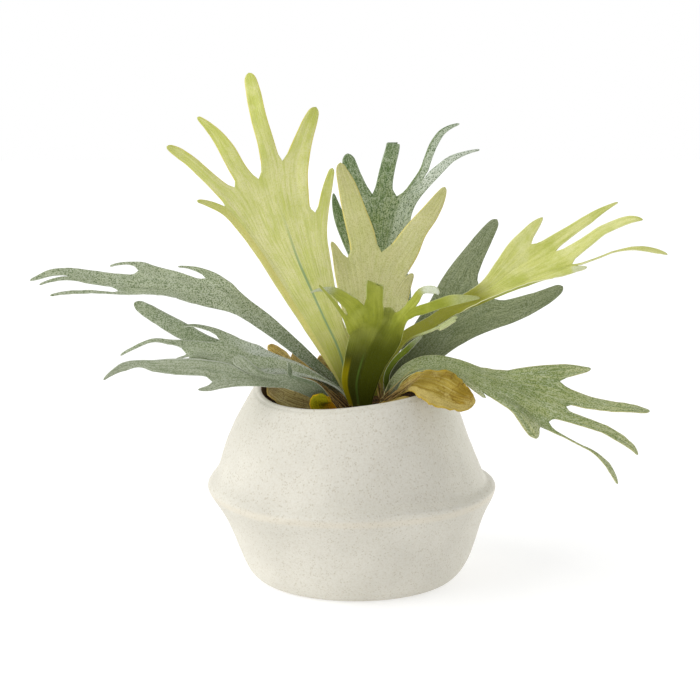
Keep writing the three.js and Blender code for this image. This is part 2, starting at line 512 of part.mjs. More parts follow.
/** Closed body: the middle surface offset to both sides along its normals, with walls round its edge. */
function thicken({ points, normals, reach, triangles }, thicknessAt) {
  const edges = new Map();
  for (const [a, b, c] of triangles) {
    for (const [u, v] of [[a, b], [b, c], [c, a]]) {
      if (!edges.delete(`${v} ${u}`)) edges.set(`${u} ${v}`, [u, v]);
    }
  }
  const moved = (side) => points.map((p, i) => add(p, normals[i], (side * thicknessAt(reach[i])) / 2));
  const count = points.length;
  const faces = [...triangles, ...triangles.map(([a, b, c]) => [a + count, c + count, b + count])];
  for (const [u, v] of edges.values()) faces.push([v, u, u + count], [v, u + count, v + count]);
  return meshData([...moved(1), ...moved(-1)], faces);
}

function meshData(points, faces) {
  return { positions: new Float32Array(points.flat()), indices: new Uint32Array(faces.flat()) };
}

function thicknessOf({ blade = BLADE }) {
  return (t) => blade + Math.max(0, STALK_THICKNESS - blade) * clamp(1 - t / STALK_LENGTH, 0, 1);
}

function frondBody(frond) {
  return thicken(sheetOf(frond), thicknessOf(frond));
}

/** Slot for a stalk: the lower rows of its own sheet, wider, thicker and reaching below its foot. */
function slotBody(frond) {
  const { points, normals, reach, triangles } = sheetOf(frond);
  const kept = triangles.filter((triangle) => triangle.every((v) => reach[v] <= SLOT_LENGTH + 0.1));
  const used = [...new Set(kept.flat())];
  const centreOf = (level) => {
    const row = used.filter((v) => Math.abs(reach[v] - level) < 0.01);
    return row.reduce((sum, v) => add(sum, points[v], 1 / row.length), [0, 0, 0]);
  };
  const next = Math.min(...used.map((v) => reach[v]).filter((t) => t > 0));
  const down = unit(add(centreOf(0), centreOf(next), -1));
  const widened = (v) => {
    const out = add(points[v], centreOf(reach[v]), -1);
    const wider = add(points[v], unit(out), length(out) > 0.1 ? SLOT_GAP : 0);
    return reach[v] === 0 ? add(wider, down, SLOT_GAP) : wider;
  };
  const number = new Map(used.map((v, i) => [v, i]));
  const sheet = {
    points: used.map(widened),
    normals: used.map((v) => normals[v]),
    reach: used.map((v) => reach[v]),
    triangles: kept.map((triangle) => triangle.map((v) => number.get(v))),
  };
  return thicken(sheet, (t) => thicknessOf(frond)(t) + 2 * SLOT_GAP);
}

/** Closed body of rings about the Z axis; the first and last rows of the profile are single points. */
function ringBody(profile, segments, place) {
  const points = [place(profile[0], 0)];
  for (const row of profile.slice(1, -1)) {
    for (let i = 0; i < segments; i++) points.push(place(row, (2 * Math.PI * i) / segments));
  }
  points.push(place(profile.at(-1), 0));
  const faces = [];
  const top = 1 + (profile.length - 3) * segments;
  for (let i = 0; i < segments; i++) {
    const j = (i + 1) % segments;
    faces.push([0, 1 + j, 1 + i]);
    for (let ring = 1; ring < top; ring += segments) {
      const [a, b] = [ring + i, ring + j];
      faces.push([a, b, b + segments], [a, b + segments, a + segments]);
    }
    faces.push([top + i, top + j, points.length - 1]);
  }
  return meshData(points, faces);
}

/** Outer radius of the pot without its lip: a side that widens to the belt, then a shoulder that draws in. */
function outsideRadius(z) {
  const { foot, side, belt, beltZ, rim, rimZ } = POT;
  if (z <= beltZ) {
    const x = clamp(z / FOOT_ROUNDING, 0, 1);
    const corner = (side - foot) * (1 - Math.sqrt(x * (2 - x)));
    return side + (belt - side) * (z / beltZ) ** SIDE_CURVE - corner;
  }
  const u = (z - beltZ) / (rimZ - beltZ);
  return rim + (belt - rim) * (1 - u) * (1 + SHOULDER_CURVE * u);
}

const hill = (x) => Math.exp(-(x ** 2));
const turnBetween = (a, b) => Math.atan2(Math.sin(a - b), Math.cos(a - b));

/** How far the belt and the rim rise from level, at a height and an angle round the pot. */
function riseOf(z, angle) {
  const { level, crest, crestAt, crestWidth, dip, dipAt, dipWidth, reach } = BELT_WAVE;
  const belt = level + crest * hill(turnBetween(angle, crestAt) / crestWidth)
    - dip * hill(turnBetween(angle, dipAt) / dipWidth);
  const rim = RIM_WAVE.level + RIM_WAVE.right * Math.cos(angle) + RIM_WAVE.back * Math.sin(angle)
    + RIM_WAVE.corners * Math.sin(2 * angle);
  const up = clamp((z - RIM_WAVE.from) / RIM_WAVE.span, 0, 1);
  return z < POT.floor ? 0 : belt * hill((z - POT.beltZ) / reach) + rim * up;
}

/** A point of the hand-made pot: its profile with the lip, leaning, its belt and rim waved. */
function potPoint([radius, z], angle) {
  if (radius === 0) return [0, 0, z];
  const up = (z - POT.beltZ) / (POT.rimZ - POT.beltZ);
  const fade = up > 0 ? LIP.above - LIP.skew * Math.cos(angle) : LIP.below;
  const lip = LIP.out * hill((z - POT.beltZ) / fade);
  const lean = up > 0
    ? LEAN.above * Math.sin(Math.PI * up)
    : LEAN.below * Math.sin((Math.PI * (POT.beltZ - z)) / LEAN.span);
  const r = radius + lip + lean * Math.cos(angle) + OVAL * Math.sin(2 * angle) * clamp(up, 0, 1);
  return [r * Math.cos(angle), r * Math.sin(angle), z + riseOf(z, angle)];
}

/** Inside of the pot, from the floor up to a height, drawn in by a gap. */
function insideRows(top, gap) {
  const { wall, floor } = POT;
  const heights = [18, 34, 50, 66.5, 84, 100, 114, SOIL_Z, 140].filter((z) => z <= top);
  const side = heights.map((z) => [outsideRadius(z) - wall - gap, z]);
  return [[64 - gap, floor + gap], [76 - gap, floor + 3 + gap], ...side];
}

function potBody() {
  const { wall, rim, rimZ, floor } = POT;
  const outside = [0, 1.5, 5, 12, 26, 40, 54, 62, 66.5, 70, 75, 82, 91, 104, 118, 131, 140]
    .map((z) => [outsideRadius(z), z]);
  const lip = [0, 1, 2, 3, 4].map((i) => {
    const turn = (Math.PI * i) / 4;
    return [rim + (Math.cos(turn) - 1) * (wall / 2), rimZ + (Math.sin(turn) - 1) * (wall / 2)];
  });
  const inside = insideRows(rimZ, 0).reverse();
  return ringBody([[0, 0], ...outside, ...lip, ...inside, [0, floor]], SEGMENTS, potPoint);
}

const crownPoint = ([radius, z], angle) => (
  [CROWN.x + radius * Math.cos(angle), CROWN.y + radius * Math.sin(angle), z]);

/** Soil that fills the pot to below its rim, set off from the wall, with a round seat for the crown. */
function soilBody() {
  const bottom = POT.floor + SEAT_GAP;
  const surface = [[60, SOIL_Z + SOIL_MOUND], [0, SOIL_Z + SOIL_MOUND]];
  const profile = [[0, bottom], ...insideRows(SOIL_Z, 2 * SEAT_GAP), ...surface];
  const filling = ringBody(profile, SEGMENTS, potPoint);
  const low = CROWN.bottom - SEAT_GAP;
  const wide = CROWN.radius + SEAT_GAP;
  const seat = ringBody([[0, low], [wide, low], [wide, POT.rimZ], [0, POT.rimZ]], SEGMENTS, crownPoint);
  return dataOf(solidOf(filling).subtract(solidOf(seat)));
}

/** Fibrous crown: a low mound in the soil with one slot for each stalk. */
function crownBody() {
  const { radius, bottom, top } = CROWN;
  const shares = [1, 0.87, 0.67, 0.38];
  const mound = shares.map((k) => [radius * k, top - (top - CROWN_EDGE_Z) * k * k]);
  const body = ringBody([[0, bottom], [radius, bottom], ...mound, [0, top]], SEGMENTS, crownPoint);
  const slots = Object.values(FRONDS).map((frond) => solidOf(slotBody(frond)).hull());
  const cut = slots.reduce((crown, slot) => crown.subtract(slot), solidOf(body));
  const [largest] = cut.decompose().sort((a, b) => b.volume() - a.volume());
  return dataOf(largest.simplify(SIMPLER));
}

const wasm = await Module();
wasm.setup();

function solidOf({ positions, indices }) {
  return new wasm.Manifold(new wasm.Mesh({ numProp: 3, vertProperties: positions, triVerts: indices }));
}

function dataOf(solid) {
  const { vertProperties, triVerts } = solid.getMesh();
  return { positions: vertProperties, indices: triVerts };
}

function mesh(name, { positions, indices }, look) {
  const geometry = new THREE.BufferGeometry();
  geometry.setAttribute('position', new THREE.BufferAttribute(positions, 3));
  geometry.setIndex(new THREE.BufferAttribute(indices, 1));
  geometry.computeVertexNormals();
  const piece = new THREE.Mesh(geometry, new THREE.MeshStandardMaterial(look));
  piece.name = name;
  return piece;
}

const plant = new THREE.Group();
plant.name = 'potted_staghorn_fern';
plant.add(mesh('pot', potBody(), { color: 0xd9d5c8, roughness: 0.7, metalness: 0 }));
plant.add(mesh('soil', soilBody(), { color: 0x2e2218, roughness: 0.95, metalness: 0 }));
plant.add(mesh('crown', crownBody(), { color: 0x5a4028, roughness: 0.9, metalness: 0 }));
for (const [name, frond] of Object.entries(FRONDS)) plant.add(mesh(name, frondBody(frond), frond.look));

export default plant;
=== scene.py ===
"""Potted staghorn fern: finer fronds, leaves, pot, soil and crown round the CAD frame, in metres."""

import math
from types import SimpleNamespace

import bpy
import numpy as np
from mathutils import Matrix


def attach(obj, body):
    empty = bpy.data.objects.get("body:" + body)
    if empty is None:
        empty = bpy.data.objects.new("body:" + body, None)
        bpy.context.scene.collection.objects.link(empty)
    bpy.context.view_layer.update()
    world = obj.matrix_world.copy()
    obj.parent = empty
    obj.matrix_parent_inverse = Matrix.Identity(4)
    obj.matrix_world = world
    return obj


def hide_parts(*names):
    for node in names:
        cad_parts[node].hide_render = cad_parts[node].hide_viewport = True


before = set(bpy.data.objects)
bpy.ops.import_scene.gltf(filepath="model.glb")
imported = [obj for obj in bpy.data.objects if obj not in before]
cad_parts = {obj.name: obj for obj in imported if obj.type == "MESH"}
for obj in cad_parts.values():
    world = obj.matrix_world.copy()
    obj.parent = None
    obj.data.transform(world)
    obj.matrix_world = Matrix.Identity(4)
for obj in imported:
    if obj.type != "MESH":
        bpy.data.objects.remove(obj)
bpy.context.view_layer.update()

MM = 0.001

# The pot: radii at the foot, side, belt and rim, heights, wall and floor, in mm.
POT = SimpleNamespace(foot=73.7, side=77.2, belt=102.7, belt_z=66.5, rim=72.7, rim_z=146.5, wall=5, floor=8)
FOOT_ROUNDING = 15  # height of the curve from the base to the side
SIDE_CURVE = 0.69  # power of the curve from the foot out to the belt
SHOULDER_CURVE = 0.38  # how far the shoulder bulges out of a straight cone
LIP = SimpleNamespace(out=6.3, below=16, above=6.2, skew=3.6)  # the belt's lip, and how it fades
LEAN = SimpleNamespace(below=3.6, above=-2.4, span=100)  # sideways lean of the lower and upper half
OVAL = -2  # how far the rim is out of round
RIM_WAVE = SimpleNamespace(start=105, span=40, level=-0.5, right=2.5, back=2.6, corners=-3)
BELT_WAVE = SimpleNamespace(reach=22, level=3.2, crest=3.4, crest_at=5.06, crest_width=0.45,
                            dip=3.9, dip_at=4.1, dip_width=0.22)
CAP_RADIUS = 0.5  # of the rings that the end caps close, which stay round and level
INNER_FOOT = 18  # height at which the inner wall turns into the floor
SOIL_Z = 127
SOIL_GAP = 0.7  # between the soil and the inner wall
CROWN = SimpleNamespace(x=6, y=-8, radius=40, bottom=113, base=129, top=138.5)
FOOT_Z = 121  # height at which the stalks end in the crown
TURNS = SimpleNamespace(pot=240, soil=160, crown=128)  # points once round

# Unevenness of the surfaces: lengths and heights of the ripples, in mm.
CLAY_RIPPLES = ((60, 0.35), (17, 0.12))
SOIL_CRUMBS = ((16, 0.9), (6, 0.6), (3, 0.35))
CROWN_LUMPS = ((12, 0.9), (4, 0.5))

# The blades, in mm.
BLADE = 1.1
STALK_THICKNESS = 1.9  # at the foot; thins to the blade over STALK_LENGTH
STALK_LENGTH = 80
ROW_STEP = 2.6
COLUMNS = 7  # columns on each side of a vein
SHORTEST_LOBE = 6  # what a cut leaves of the lobes beside it
SINUS = 6  # length over which a cut opens, as a quarter circle
SETTLE = 35  # length over which a lobe's edge turns from its neighbour's side to its own
SLACK = 0.2  # rows this little past a cut still belong to its seam
HELD = 25  # length past a cut over which an edge stays HALF_CUT short of the seam
HALF_CUT = 0.3
LEAST_ROOM = 0.05
FRINGE = 4  # length past a cut over which its edge turns into a margin
SAME_CUT = 3  # cuts closer together than this along a vein count as one
LEAST_STRETCH = 0.5  # how slowly a vein may advance against the shared levels
SAME_ROW = 0.25  # levels closer together than this share a row
TIP_CROWDING = 1.35  # power by which rows crowd towards a tip
TIP_ROUNDING = 1.6  # length of a rounded tip, in half widths of its end
SHORTEST_TIP = 2
NO_RIB = 99.0  # distance to the midrib on lobes that have none
LOWER_RIGHT = np.array([0.6, 0, -0.8])  # the side that counts as 1 across a blade
STILL = 30  # length of stalk without waves
RISING = 40  # length over which the waves rise
WAVES = ((34, 1), (11, 0.35))  # waves of a blade: lengths and heights
RUFFLES = ((9, 1), (4, 0.5))  # the same at its margin
RAGS = (11, 4)  # lengths of the tears in a dry margin
FRESH_LEAF = (0.55, 0.35, 0)  # how strongly it waves, ruffles and is ragged
DRY_LEAF = (1.4, 1.8, 0.06)

# The hairs on the crown, and bundles of longer ones: from and to (across px, down px, depth mm), count.
HAIRS = 300
HAIR_RADIUS = 0.24
HAIR_SIDES = 4
SHORT_HAIR = SimpleNamespace(out=(0.15, 0.98), rise=(0.2, 1.0), reach=(5, 15), sag=(0.1, 0.5),
                             stray=0.5, curl=0.18)
LONG_HAIR = SimpleNamespace(spread=(1.7, 1.2, 1.7), curl=2.2, share=(0.55, 1), stray=1.5)
BUNDLES = [
    ((381, 400, -32), (377, 374, -36), 16), ((384, 402, -34), (404, 386, -43), 14),
    ((386, 402, -36), (424, 373, -64), 12), ((346, 407, -30), (312, 376, -30), 20),
    ((341, 408, -38), (320, 382, -36), 10),
]

# The studio: reach and height of the floor in mm, its glow, how strongly the white surroundings light,
# and for each lamp the way it shines, its strength and its spread in degrees.
FLOOR_REACH = 4000
FLOOR_Z = -0.2
FLOOR_GLOW = 0.5
SURROUNDINGS = 0.66
LAMPS = {"key": ((0.9, 0.2, -0.42), 2.3, 70), "edge_light": ((-0.75, -0.65, -0.1), 1.8, 40)}

# The reference view: where its camera stands in mm, how far it looks down, and its scale in pixels.
VIEW = np.array([-1.2, -1300.0, 415.0])
TILT = math.radians(10.59)
FOCAL = 1763
MIDDLE = 350
SENSOR = 36
FORWARD = np.array([0, math.cos(TILT), -math.sin(TILT)])
UPWARD = np.array([0, math.sin(TILT), math.cos(TILT)])

# The fronds and leaves, as points chosen in the reference view, from the foot to the tips.
#   foot         where the stalk stands in the crown: x and y in mm
#   stalk        across px, down px, depth mm, half width px, and how far its sides rise in mm, if at all
#   lobes        the path of each lobe, side by side, in the same numbers
#   notches      the bottom of the cut between each lobe and the next: across px, down px
#   face         which way the blade faces at each row of the stalk, and lobe_faces at a lobe's own rows
#   folded       lobes that keep to their own side and not to their neighbour's
#   blade        thickness in mm where it is not BLADE
FRONDS = {
    "frond_tall_lime": dict(
        foot=(3, -12), face=[(0.1, 1, 0.2)],
        stalk=[(353, 404, -14, 5), (346, 381, -20, 8), (337, 352, -28, 16), (320.5, 318, -36, 21)],
        lobes=[[(326, 262, -40, 5), (322, 234, -42, 5), (323.5, 210, -42, 5.5), (327, 190, -40, 5),
                (332.5, 168, -36, 2.5)],
               [(312, 262, -43, 8), (303, 228, -46, 10), (297, 196, -48, 12), (296, 175, -48, 12),
                (298, 158, -47, 11.5), (304, 138, -44, 9), (311, 119, -40, 7), (316, 107, -36, 4)],
               [(299, 262, -45, 8), (287, 228, -50, 10), (277, 195, -53, 11), (271, 165, -54, 10),
                (266, 143, -54, 8.5), (259, 119, -52, 8), (253, 91, -48, 7.5), (249, 73, -44, 5)],
               [(287, 265, -46, 8), (270, 235, -52, 9), (257, 205, -57, 9), (247, 183, -60, 9),
                (236.5, 167, -62, 8.5), (226, 148, -64, 8), (213, 131, -64, 5.5), (197.5, 117, -62, 2)],
               [(277, 268, -46, 8), (260, 243, -53, 8), (243, 216, -60, 8), (229, 197, -64, 8),
                (211, 180, -70, 6.5), (193, 163.5, -76, 6), (176, 151, -80, 5), (166.5, 146.5, -82, 2)],
               [(277, 279, -46, 5), (259, 251, -53, 5), (242, 229, -60, 4.5), (225, 211.5, -66, 4),
                (208, 203.5, -72, 3), (197, 201, -76, 1.5)]],
        notches=[(317.5, 211.5), (285, 158.5), (256, 179), (234.5, 186.5), (225.5, 206)]),
    "frond_pale_centre": dict(
        foot=(10, 2), face=[(0, -1, 0.1), (0, -1, 0.3)],
        stalk=[(368, 402, 2, 6), (372, 372, 4, 12), (374, 335, 8, 26), (374, 300, 12, 34)],
        lobes=[[(342, 268, 16, 8), (337, 254, 18, 5), (331.5, 241.5, 20, 1.5)],
               [(364, 262, 18, 12), (362.5, 240, 22, 13.5), (355, 214, 26, 12), (347, 186, 32, 9),
                (341.5, 170, 36, 5.5), (340.5, 162.5, 38, 3)],
               [(390, 275, 18, 14), (405, 250, 22, 14), (416, 231, 26, 11), (430, 213, 30, 9),
                (439.5, 198, 34, 6), (445, 187, 37, 2)],
               [(400, 296, 14, 9), (406, 284, 16, 6), (413, 273.5, 18, 2)]],
        notches=[(351, 255.5), (387, 247), (406, 274)]),
    "frond_front_olive": dict(
        foot=(8, -26), face=[(0, 1, 0.1)],
        stalk=[(360.5, 405, -30, 11.5), (359.5, 384, -36, 18), (365, 362, -43, 21), (375, 337, -52, 26)],
        lobes=[[(402, 320, -60, 5.5), (412, 312.5, -63, 5), (423, 309.5, -66, 5), (437, 304.5, -70, 5),
                (452, 300, -72, 5.5), (467, 298.5, -73, 3.5), (480, 298, -73, 1)],
               [(401, 317, -60, 6), (408.5, 307, -62, 6.5), (415, 299, -64, 5), (421.5, 291, -66, 3.5),
                (430, 289.5, -70, 4), (436.5, 291, -73, 3.5), (438.5, 295, -74, 1.5)],
               [(388, 320, -54, 6), (389, 312, -50, 6), (390, 308, -44, 5), (391, 312, -38, 2)],
               [(375, 318, -58, 9), (375, 302, -59, 9), (375, 288, -58, 9), (375, 283.5, -54, 8.5),
                (375, 285, -47, 7), (375, 292, -42, 3)],
               [(361, 317, -59, 7), (353, 306, -62, 8), (343, 297.5, -66, 6.5), (333, 291, -69, 4.5),
                (321, 289.5, -71, 2), (310.5, 293, -72, 1)],
               [(353, 333, -56, 5), (346, 320, -61, 2.5), (337, 306, -68, 2), (328, 295, -75, 1.5),
                (319, 285, -80, 1)]],
        notches=[(418, 307), (396, 315), (384, 316), (360.5, 304), (345, 317)]),
    "frond_back_dark": dict(
        foot=(16, 17), face=[(0, -1, 0.1), (0, -1, 0.35)],
        stalk=[(374, 398, 20, 6), (378, 350, 28, 14), (385, 300, 38, 26), (379, 262, 46, 27)],
        lobes=[[(350, 240, 50, 8), (341, 222, 53, 6), (336, 206, 56, 4), (333.5, 193, 59, 1)],
               [(364, 222, 54, 13), (358, 196, 58, 12), (352, 175, 63, 9), (348.5, 160, 67, 6.5),
                (347.5, 153.5, 69, 4)],
               [(381, 220, 55, 11), (383, 195, 59, 9), (385.5, 178, 62, 8), (389, 162, 66, 7.5),
                (392.5, 149, 71, 7), (393, 144, 77, 6.5), (393, 147, 84, 3)],
               [(398, 222, 55, 10), (406, 202, 59, 7.5), (416, 185.5, 63, 6), (423.5, 171.5, 65, 4.5),
                (428.5, 157, 67, 4), (434.5, 143, 70, 4), (443, 131.5, 74, 3), (459.5, 124, 78, 1)],
               [(403, 238, 52, 8), (404, 217, 56, 7), (411, 199, 60, 7), (424, 184, 63, 6),
                (438.5, 170, 65, 5), (451.5, 159, 67, 3.5), (465.5, 153, 70, 2), (479.5, 150, 73, 1)]],
        notches=[(345, 214), (368, 191), (395, 193), (422.5, 179)]),
    "frond_right_back": dict(
        foot=(22, 4), face=[(0.3, 1, 0.3)],
        stalk=[(386, 396, 6, 6), (405, 372, 10, 13), (430, 340, 16, 22)],
        lobes=[[(455, 331, 18, 15), (470, 324, 19, 14), (487, 317, 20, 14), (509, 311.5, 20, 12),
                (531, 303.5, 20, 10), (549, 295, 20, 7.5), (563, 286.5, 21, 4)],
               [(446, 309, 22, 18), (455.5, 288, 26, 16.5), (465, 270, 30, 14), (474, 254.5, 34, 11),
                (484, 238.5, 38, 8.5), (493, 225, 42, 5.5), (497, 219.5, 44, 3)]],
        notches=[(496, 294)]),
    "frond_right_lime": dict(
        foot=(20, -4), face=[(0, -0.8, 0.6)],
        stalk=[(378, 394, -3, 4), (389, 360, -6, 5), (405, 337, -8, 6), (431, 324, -10, 8),
               (455, 309, -12, 9)],
        lobes=[[(484, 286, -12, 5), (502, 265, -10, 7), (515, 248, -8, 8), (526, 236, -6, 7),
                (535, 225.5, -4, 5), (543, 217.5, -2, 1)],
               [(487, 290, -13, 5), (512, 271, -12, 7), (535, 254.5, -11, 8), (554, 242.5, -10, 7.5),
                (571.5, 230.5, -9, 6), (589.5, 218.5, -8, 5), (604.5, 209, -7, 3), (618, 202.5, -6, 1)],
               [(488, 294, -15, 4), (515, 280, -16, 6), (545, 266, -17, 8), (567, 255, -18, 8),
                (585, 243, -20, 6.5), (602, 230.5, -22, 5.5), (620, 222.5, -24, 5), (632, 219, -26, 4),
                (643, 219.5, -28, 1)],
               [(489, 297, -17, 3), (520, 284, -19, 4), (550, 273, -21, 4), (568, 268.5, -22, 2.5),
                (582, 264, -23, 1.5), (598, 258, -24, 1), (614, 251.5, -25, 1), (631, 248.5, -26, 2),
                (646, 249, -27, 3), (658, 251.5, -28, 2.5), (667.5, 254.5, -29, 1)],
               [(480, 303.5, -22, 2.5), (511, 291.5, -25, 3), (531, 284.5, -27, 4),
                (550, 277.5, -29, 4.5), (565, 271, -30, 5), (577, 267.5, -30, 5), (587, 267.5, -30, 2)],
               [(438, 330.5, -17, 1.6), (445, 326.5, -19, 1.6), (451, 323, -21, 1.2),
                (456, 320, -22, 0.8)]],
        lobe_faces={4: [(0, 0.7, 0.7), (0, 0.8, 0.6), (0, 0.5, 0.8), (0, -0.2, 1), (0, -0.8, 0.6)]},
        notches=[(533, 243.5), (555.5, 250.5), (571, 262), (572, 266), (434, 331)]),
    "frond_left_high": dict(
        foot=(1, -6), face=[(0, -0.8, 0.6)],
        stalk=[(349, 395, -8, 5), (330, 377, -13, 5), (312, 361.5, -18, 6), (291.5, 343.5, -24, 7.5),
               (264.5, 322, -28, 9.5), (239.5, 305, -32, 11.5)],
        lobes=[[(218, 303.5, -38, 6), (195, 299.5, -44, 6), (170, 295, -50, 5.5), (145, 293, -54, 4),
                (119, 293.5, -56, 2), (90, 292, -58, 2), (68, 292.5, -59, 2), (50, 295.5, -60, 1)],
               [(216, 297, -37, 4), (190, 293, -41, 4.5), (160, 290, -44, 5), (135, 288.5, -45, 5),
                (112, 285, -46, 4), (92, 281.5, -47, 3.5), (75, 278.5, -48, 2.5), (57, 279, -49, 2),
                (39.5, 285, -50, 1)],
               [(216, 292, -36, 5), (188, 286, -39, 6), (160, 282, -41, 6.5), (135, 280, -42, 6),
                (110, 277.5, -43, 5.5), (90, 274.5, -44, 5), (70, 272, -45, 4.5), (52, 272.5, -46, 4),
                (38, 277.5, -47, 2.5), (30, 280.5, -48, 1)],
               [(218, 288, -34, 5), (196, 282.5, -34, 5), (175, 276.5, -33, 6), (155, 270.5, -32, 5),
                (142, 265.5, -31, 4), (130, 263.5, -30, 2), (119, 264, -29, 1.5), (110, 266.5, -28, 1)],
               [(228, 289, -32, 7), (218, 280, -31, 5.5), (208, 273.5, -29, 4), (197, 269, -27, 2.5),
                (188, 267, -25, 1.5), (178, 266.5, -24, 1)]],
        notches=[(119, 291.5), (72, 277.5), (137.5, 275.5), (203.5, 282.5)]),
    "frond_left_dark": dict(
        foot=(-3, 4), face=[(0.2, 0.9, 0.3)],
        stalk=[(346, 400, 2, 4), (329, 385, -8, 4), (304, 371, -16, 4.5), (262, 360, -24, 7)],
        lobes=[[(214, 345.5, -28, 8.5), (184, 331.5, -28, 10), (162, 319.5, -28, 9), (146, 310, -28, 8),
                (134, 303, -28, 5)]],
        notches=[]),
    "frond_left_mid": dict(
        foot=(-2, -20), face=[(0, -0.3, 1), (0, -0.2, 1), (0, -0.35, 1), (0, -0.7, 0.8)],
        stalk=[(350, 403, -24, 5, 1.5), (339, 390, -29, 4.5, 1.5), (322, 379.5, -34, 4.5, 1),
               (302, 371, -39, 7.5), (275, 363.5, -44, 12.5)],
        lobes=[[(249, 371.5, -54, 4), (232, 369, -58, 4), (221, 364, -61, 5), (209, 359, -63, 5),
                (198, 357, -65, 4), (189, 358, -66, 2)],
               [(249, 366.5, -52, 6), (227, 362.5, -56, 6), (210, 358, -59, 4.5), (197, 355.5, -61, 2.5),
                (186, 357, -62, 1.5), (174, 361, -63, 1)],
               [(244, 357, -46, 7), (215, 349.5, -48, 7), (190, 345.5, -49, 6.5), (171, 342.5, -50, 3.5),
                (156, 340.5, -50, 2.5), (145, 342.5, -50, 2), (133, 348, -49, 2), (120.5, 355.5, -48, 1)],
               [(257, 352.5, -42, 8), (240, 344.5, -40, 6), (225, 336, -38, 5), (210, 329, -36, 3),
                (196, 326, -34, 2), (183, 326.5, -32, 1)]],
        folded=(0,),
        lobe_faces={0: [(0, -0.8, 0.3), (0, -0.8, -0.2), (0, -0.7, -0.7)],
                    1: [(0, -0.7, 0.8), (0, -0.6, 0.8), (0, -0.5, 0.9)]},
        notches=[(200, 359), (186, 354), (219, 340.5)]),
    "frond_left_low": dict(
        foot=(-13, -32), face=[(0, 0.9, 0.4)],
        stalk=[(329, 408, -37, 5), (322, 398, -42, 7), (311, 389, -48, 9.5), (290, 381.5, -54, 9.5)],
        lobes=[[(290.5, 376, -54, 3.5), (289.5, 370, -55, 2.5), (288, 362, -56, 1)],
               [(263, 377, -60, 6), (252, 373, -62, 8), (244, 366, -64, 8), (238, 360, -66, 7),
                (235, 356.5, -67, 4.5)],
               [(250, 376, -62, 7), (225, 370, -66, 8), (200, 366.5, -70, 9.5), (177, 366.5, -73, 9.5),
                (156, 365.5, -75, 7.5), (138, 363.5, -76, 4.5), (124, 367, -77, 5), (113, 372.5, -77, 3),
                (103.5, 380, -77, 1)],
               [(262, 382, -61, 5), (240, 381.5, -64, 5), (222, 384, -67, 4.5), (209, 388, -69, 3),
                (198, 389.5, -70, 1)]],
        notches=[(284, 370), (252, 369), (210, 380)]),
    "frond_right_front": dict(
        foot=(21, -12), face=[(0.6, -0.6, 0.4), (0.3, -0.5, 0.8), (0, -0.5, 0.85), (0, -0.6, 0.8)],
        stalk=[(384, 403, -14, 8, 3), (394, 388, -20, 12.5, 6), (407, 375.5, -28, 13.5, 6),
               (429, 366.5, -36, 11, 5), (456, 368.5, -44, 11, 2)],
        lobes=[[(480, 371, -46, 6), (507, 375, -48, 7), (530, 373.5, -50, 7.5), (549, 372, -50, 7.5),
                (567, 371, -50, 7), (581, 370, -50, 4.5), (591, 369, -50, 1.5)],
               [(480, 375, -50, 6), (507, 382, -54, 8), (530, 386.5, -56, 9), (552, 391.5, -58, 8.5),
                (569, 396.5, -60, 8), (588, 402.5, -62, 7.5), (610, 406, -64, 7), (630, 408, -66, 5.5),
                (643, 410, -66, 3.5), (650, 411, -66, 1.5)],
               [(480, 379, -54, 6), (505, 389, -60, 8), (530, 400, -64, 8.5), (553, 410.5, -68, 7.5),
                (568, 416.5, -70, 6), (588, 423.5, -73, 5.5), (608, 431, -76, 5), (625, 441.5, -79, 4.5),
                (634, 449, -80, 3), (638, 455, -80, 1)],
               [(480, 382, -57, 4), (503, 395, -63, 5), (525, 408.5, -68, 5), (541, 421.5, -72, 4),
                (553, 430.5, -75, 2), (567, 438, -78, 1), (582, 446, -80, 1), (597, 454.5, -82, 2),
                (607, 465, -83, 3), (613, 475, -83, 2.5), (617, 484, -83, 1)],
               [(480, 386, -59, 5), (500, 398, -66, 5), (516, 408, -72, 6.5), (527, 420, -76, 8.5),
                (533, 430, -79, 7.5), (537, 438.5, -81, 4)],
               [(462, 378, -54, 4), (471, 384, -59, 4.5), (479, 391.5, -63, 3), (485.5, 398, -65, 1)]],
        notches=[(561, 381), (566, 405), (549, 421), (541, 427), (485, 392.5)]),
    "leaf_narrow": dict(
        foot=(28, -4), face=[(-0.3, -1, 0.3)],
        stalk=[(388, 400, -6, 3), (387, 375, -10, 3), (395, 361, -13, 3)],
        lobes=[[(406, 350.5, -15, 3), (415, 342, -16, 2.5), (422.5, 335.5, -17, 1)]],
        notches=[]),
    "basal_leaf_right": dict(
        foot=(31, -27), face=[(0.2, -0.6, 0.75), (0.1, -0.8, 0.6)],
        stalk=[(393, 402, -31, 4.5), (402, 389.5, -42, 5)],
        lobes=[[(414, 382.5, -53, 10.5), (429, 384, -62, 18.5), (443, 389.5, -67, 22),
                (457, 396, -71, 17.5), (468, 399.5, -72, 11.5), (475.5, 400.5, -71, 5)]],
        notches=[]),
    "basal_leaf_small": dict(
        foot=(16, -34), face=[(0.2, -0.7, 0.6)],
        stalk=[(381, 408, -38, 5)],
        lobes=[[(394, 403, -47, 4.5), (403, 400.5, -51, 4.5), (411, 398.5, -53, 2.5)]],
        notches=[]),
    "basal_leaf_left": dict(
        foot=(-15, -14), face=[(0.3, -0.7, 0.6)],
        stalk=[(323, 407, -19, 9)],
        lobes=[[(306, 402, -24, 13), (291, 397, -24, 14.5), (279, 391, -19, 12.5), (271, 384, -12, 7.5)]],
        notches=[]),
    "basal_leaf_back": dict(
        foot=(-9, 12), face=[(0.2, -1, 0.2)],
        stalk=[(336, 399, 13, 13), (322, 384, 14, 19), (307, 372, 14, 21)],
        lobes=[[(290, 362.5, 11, 7), (279, 353.5, 9, 5.5), (268, 345.5, 7, 5)],
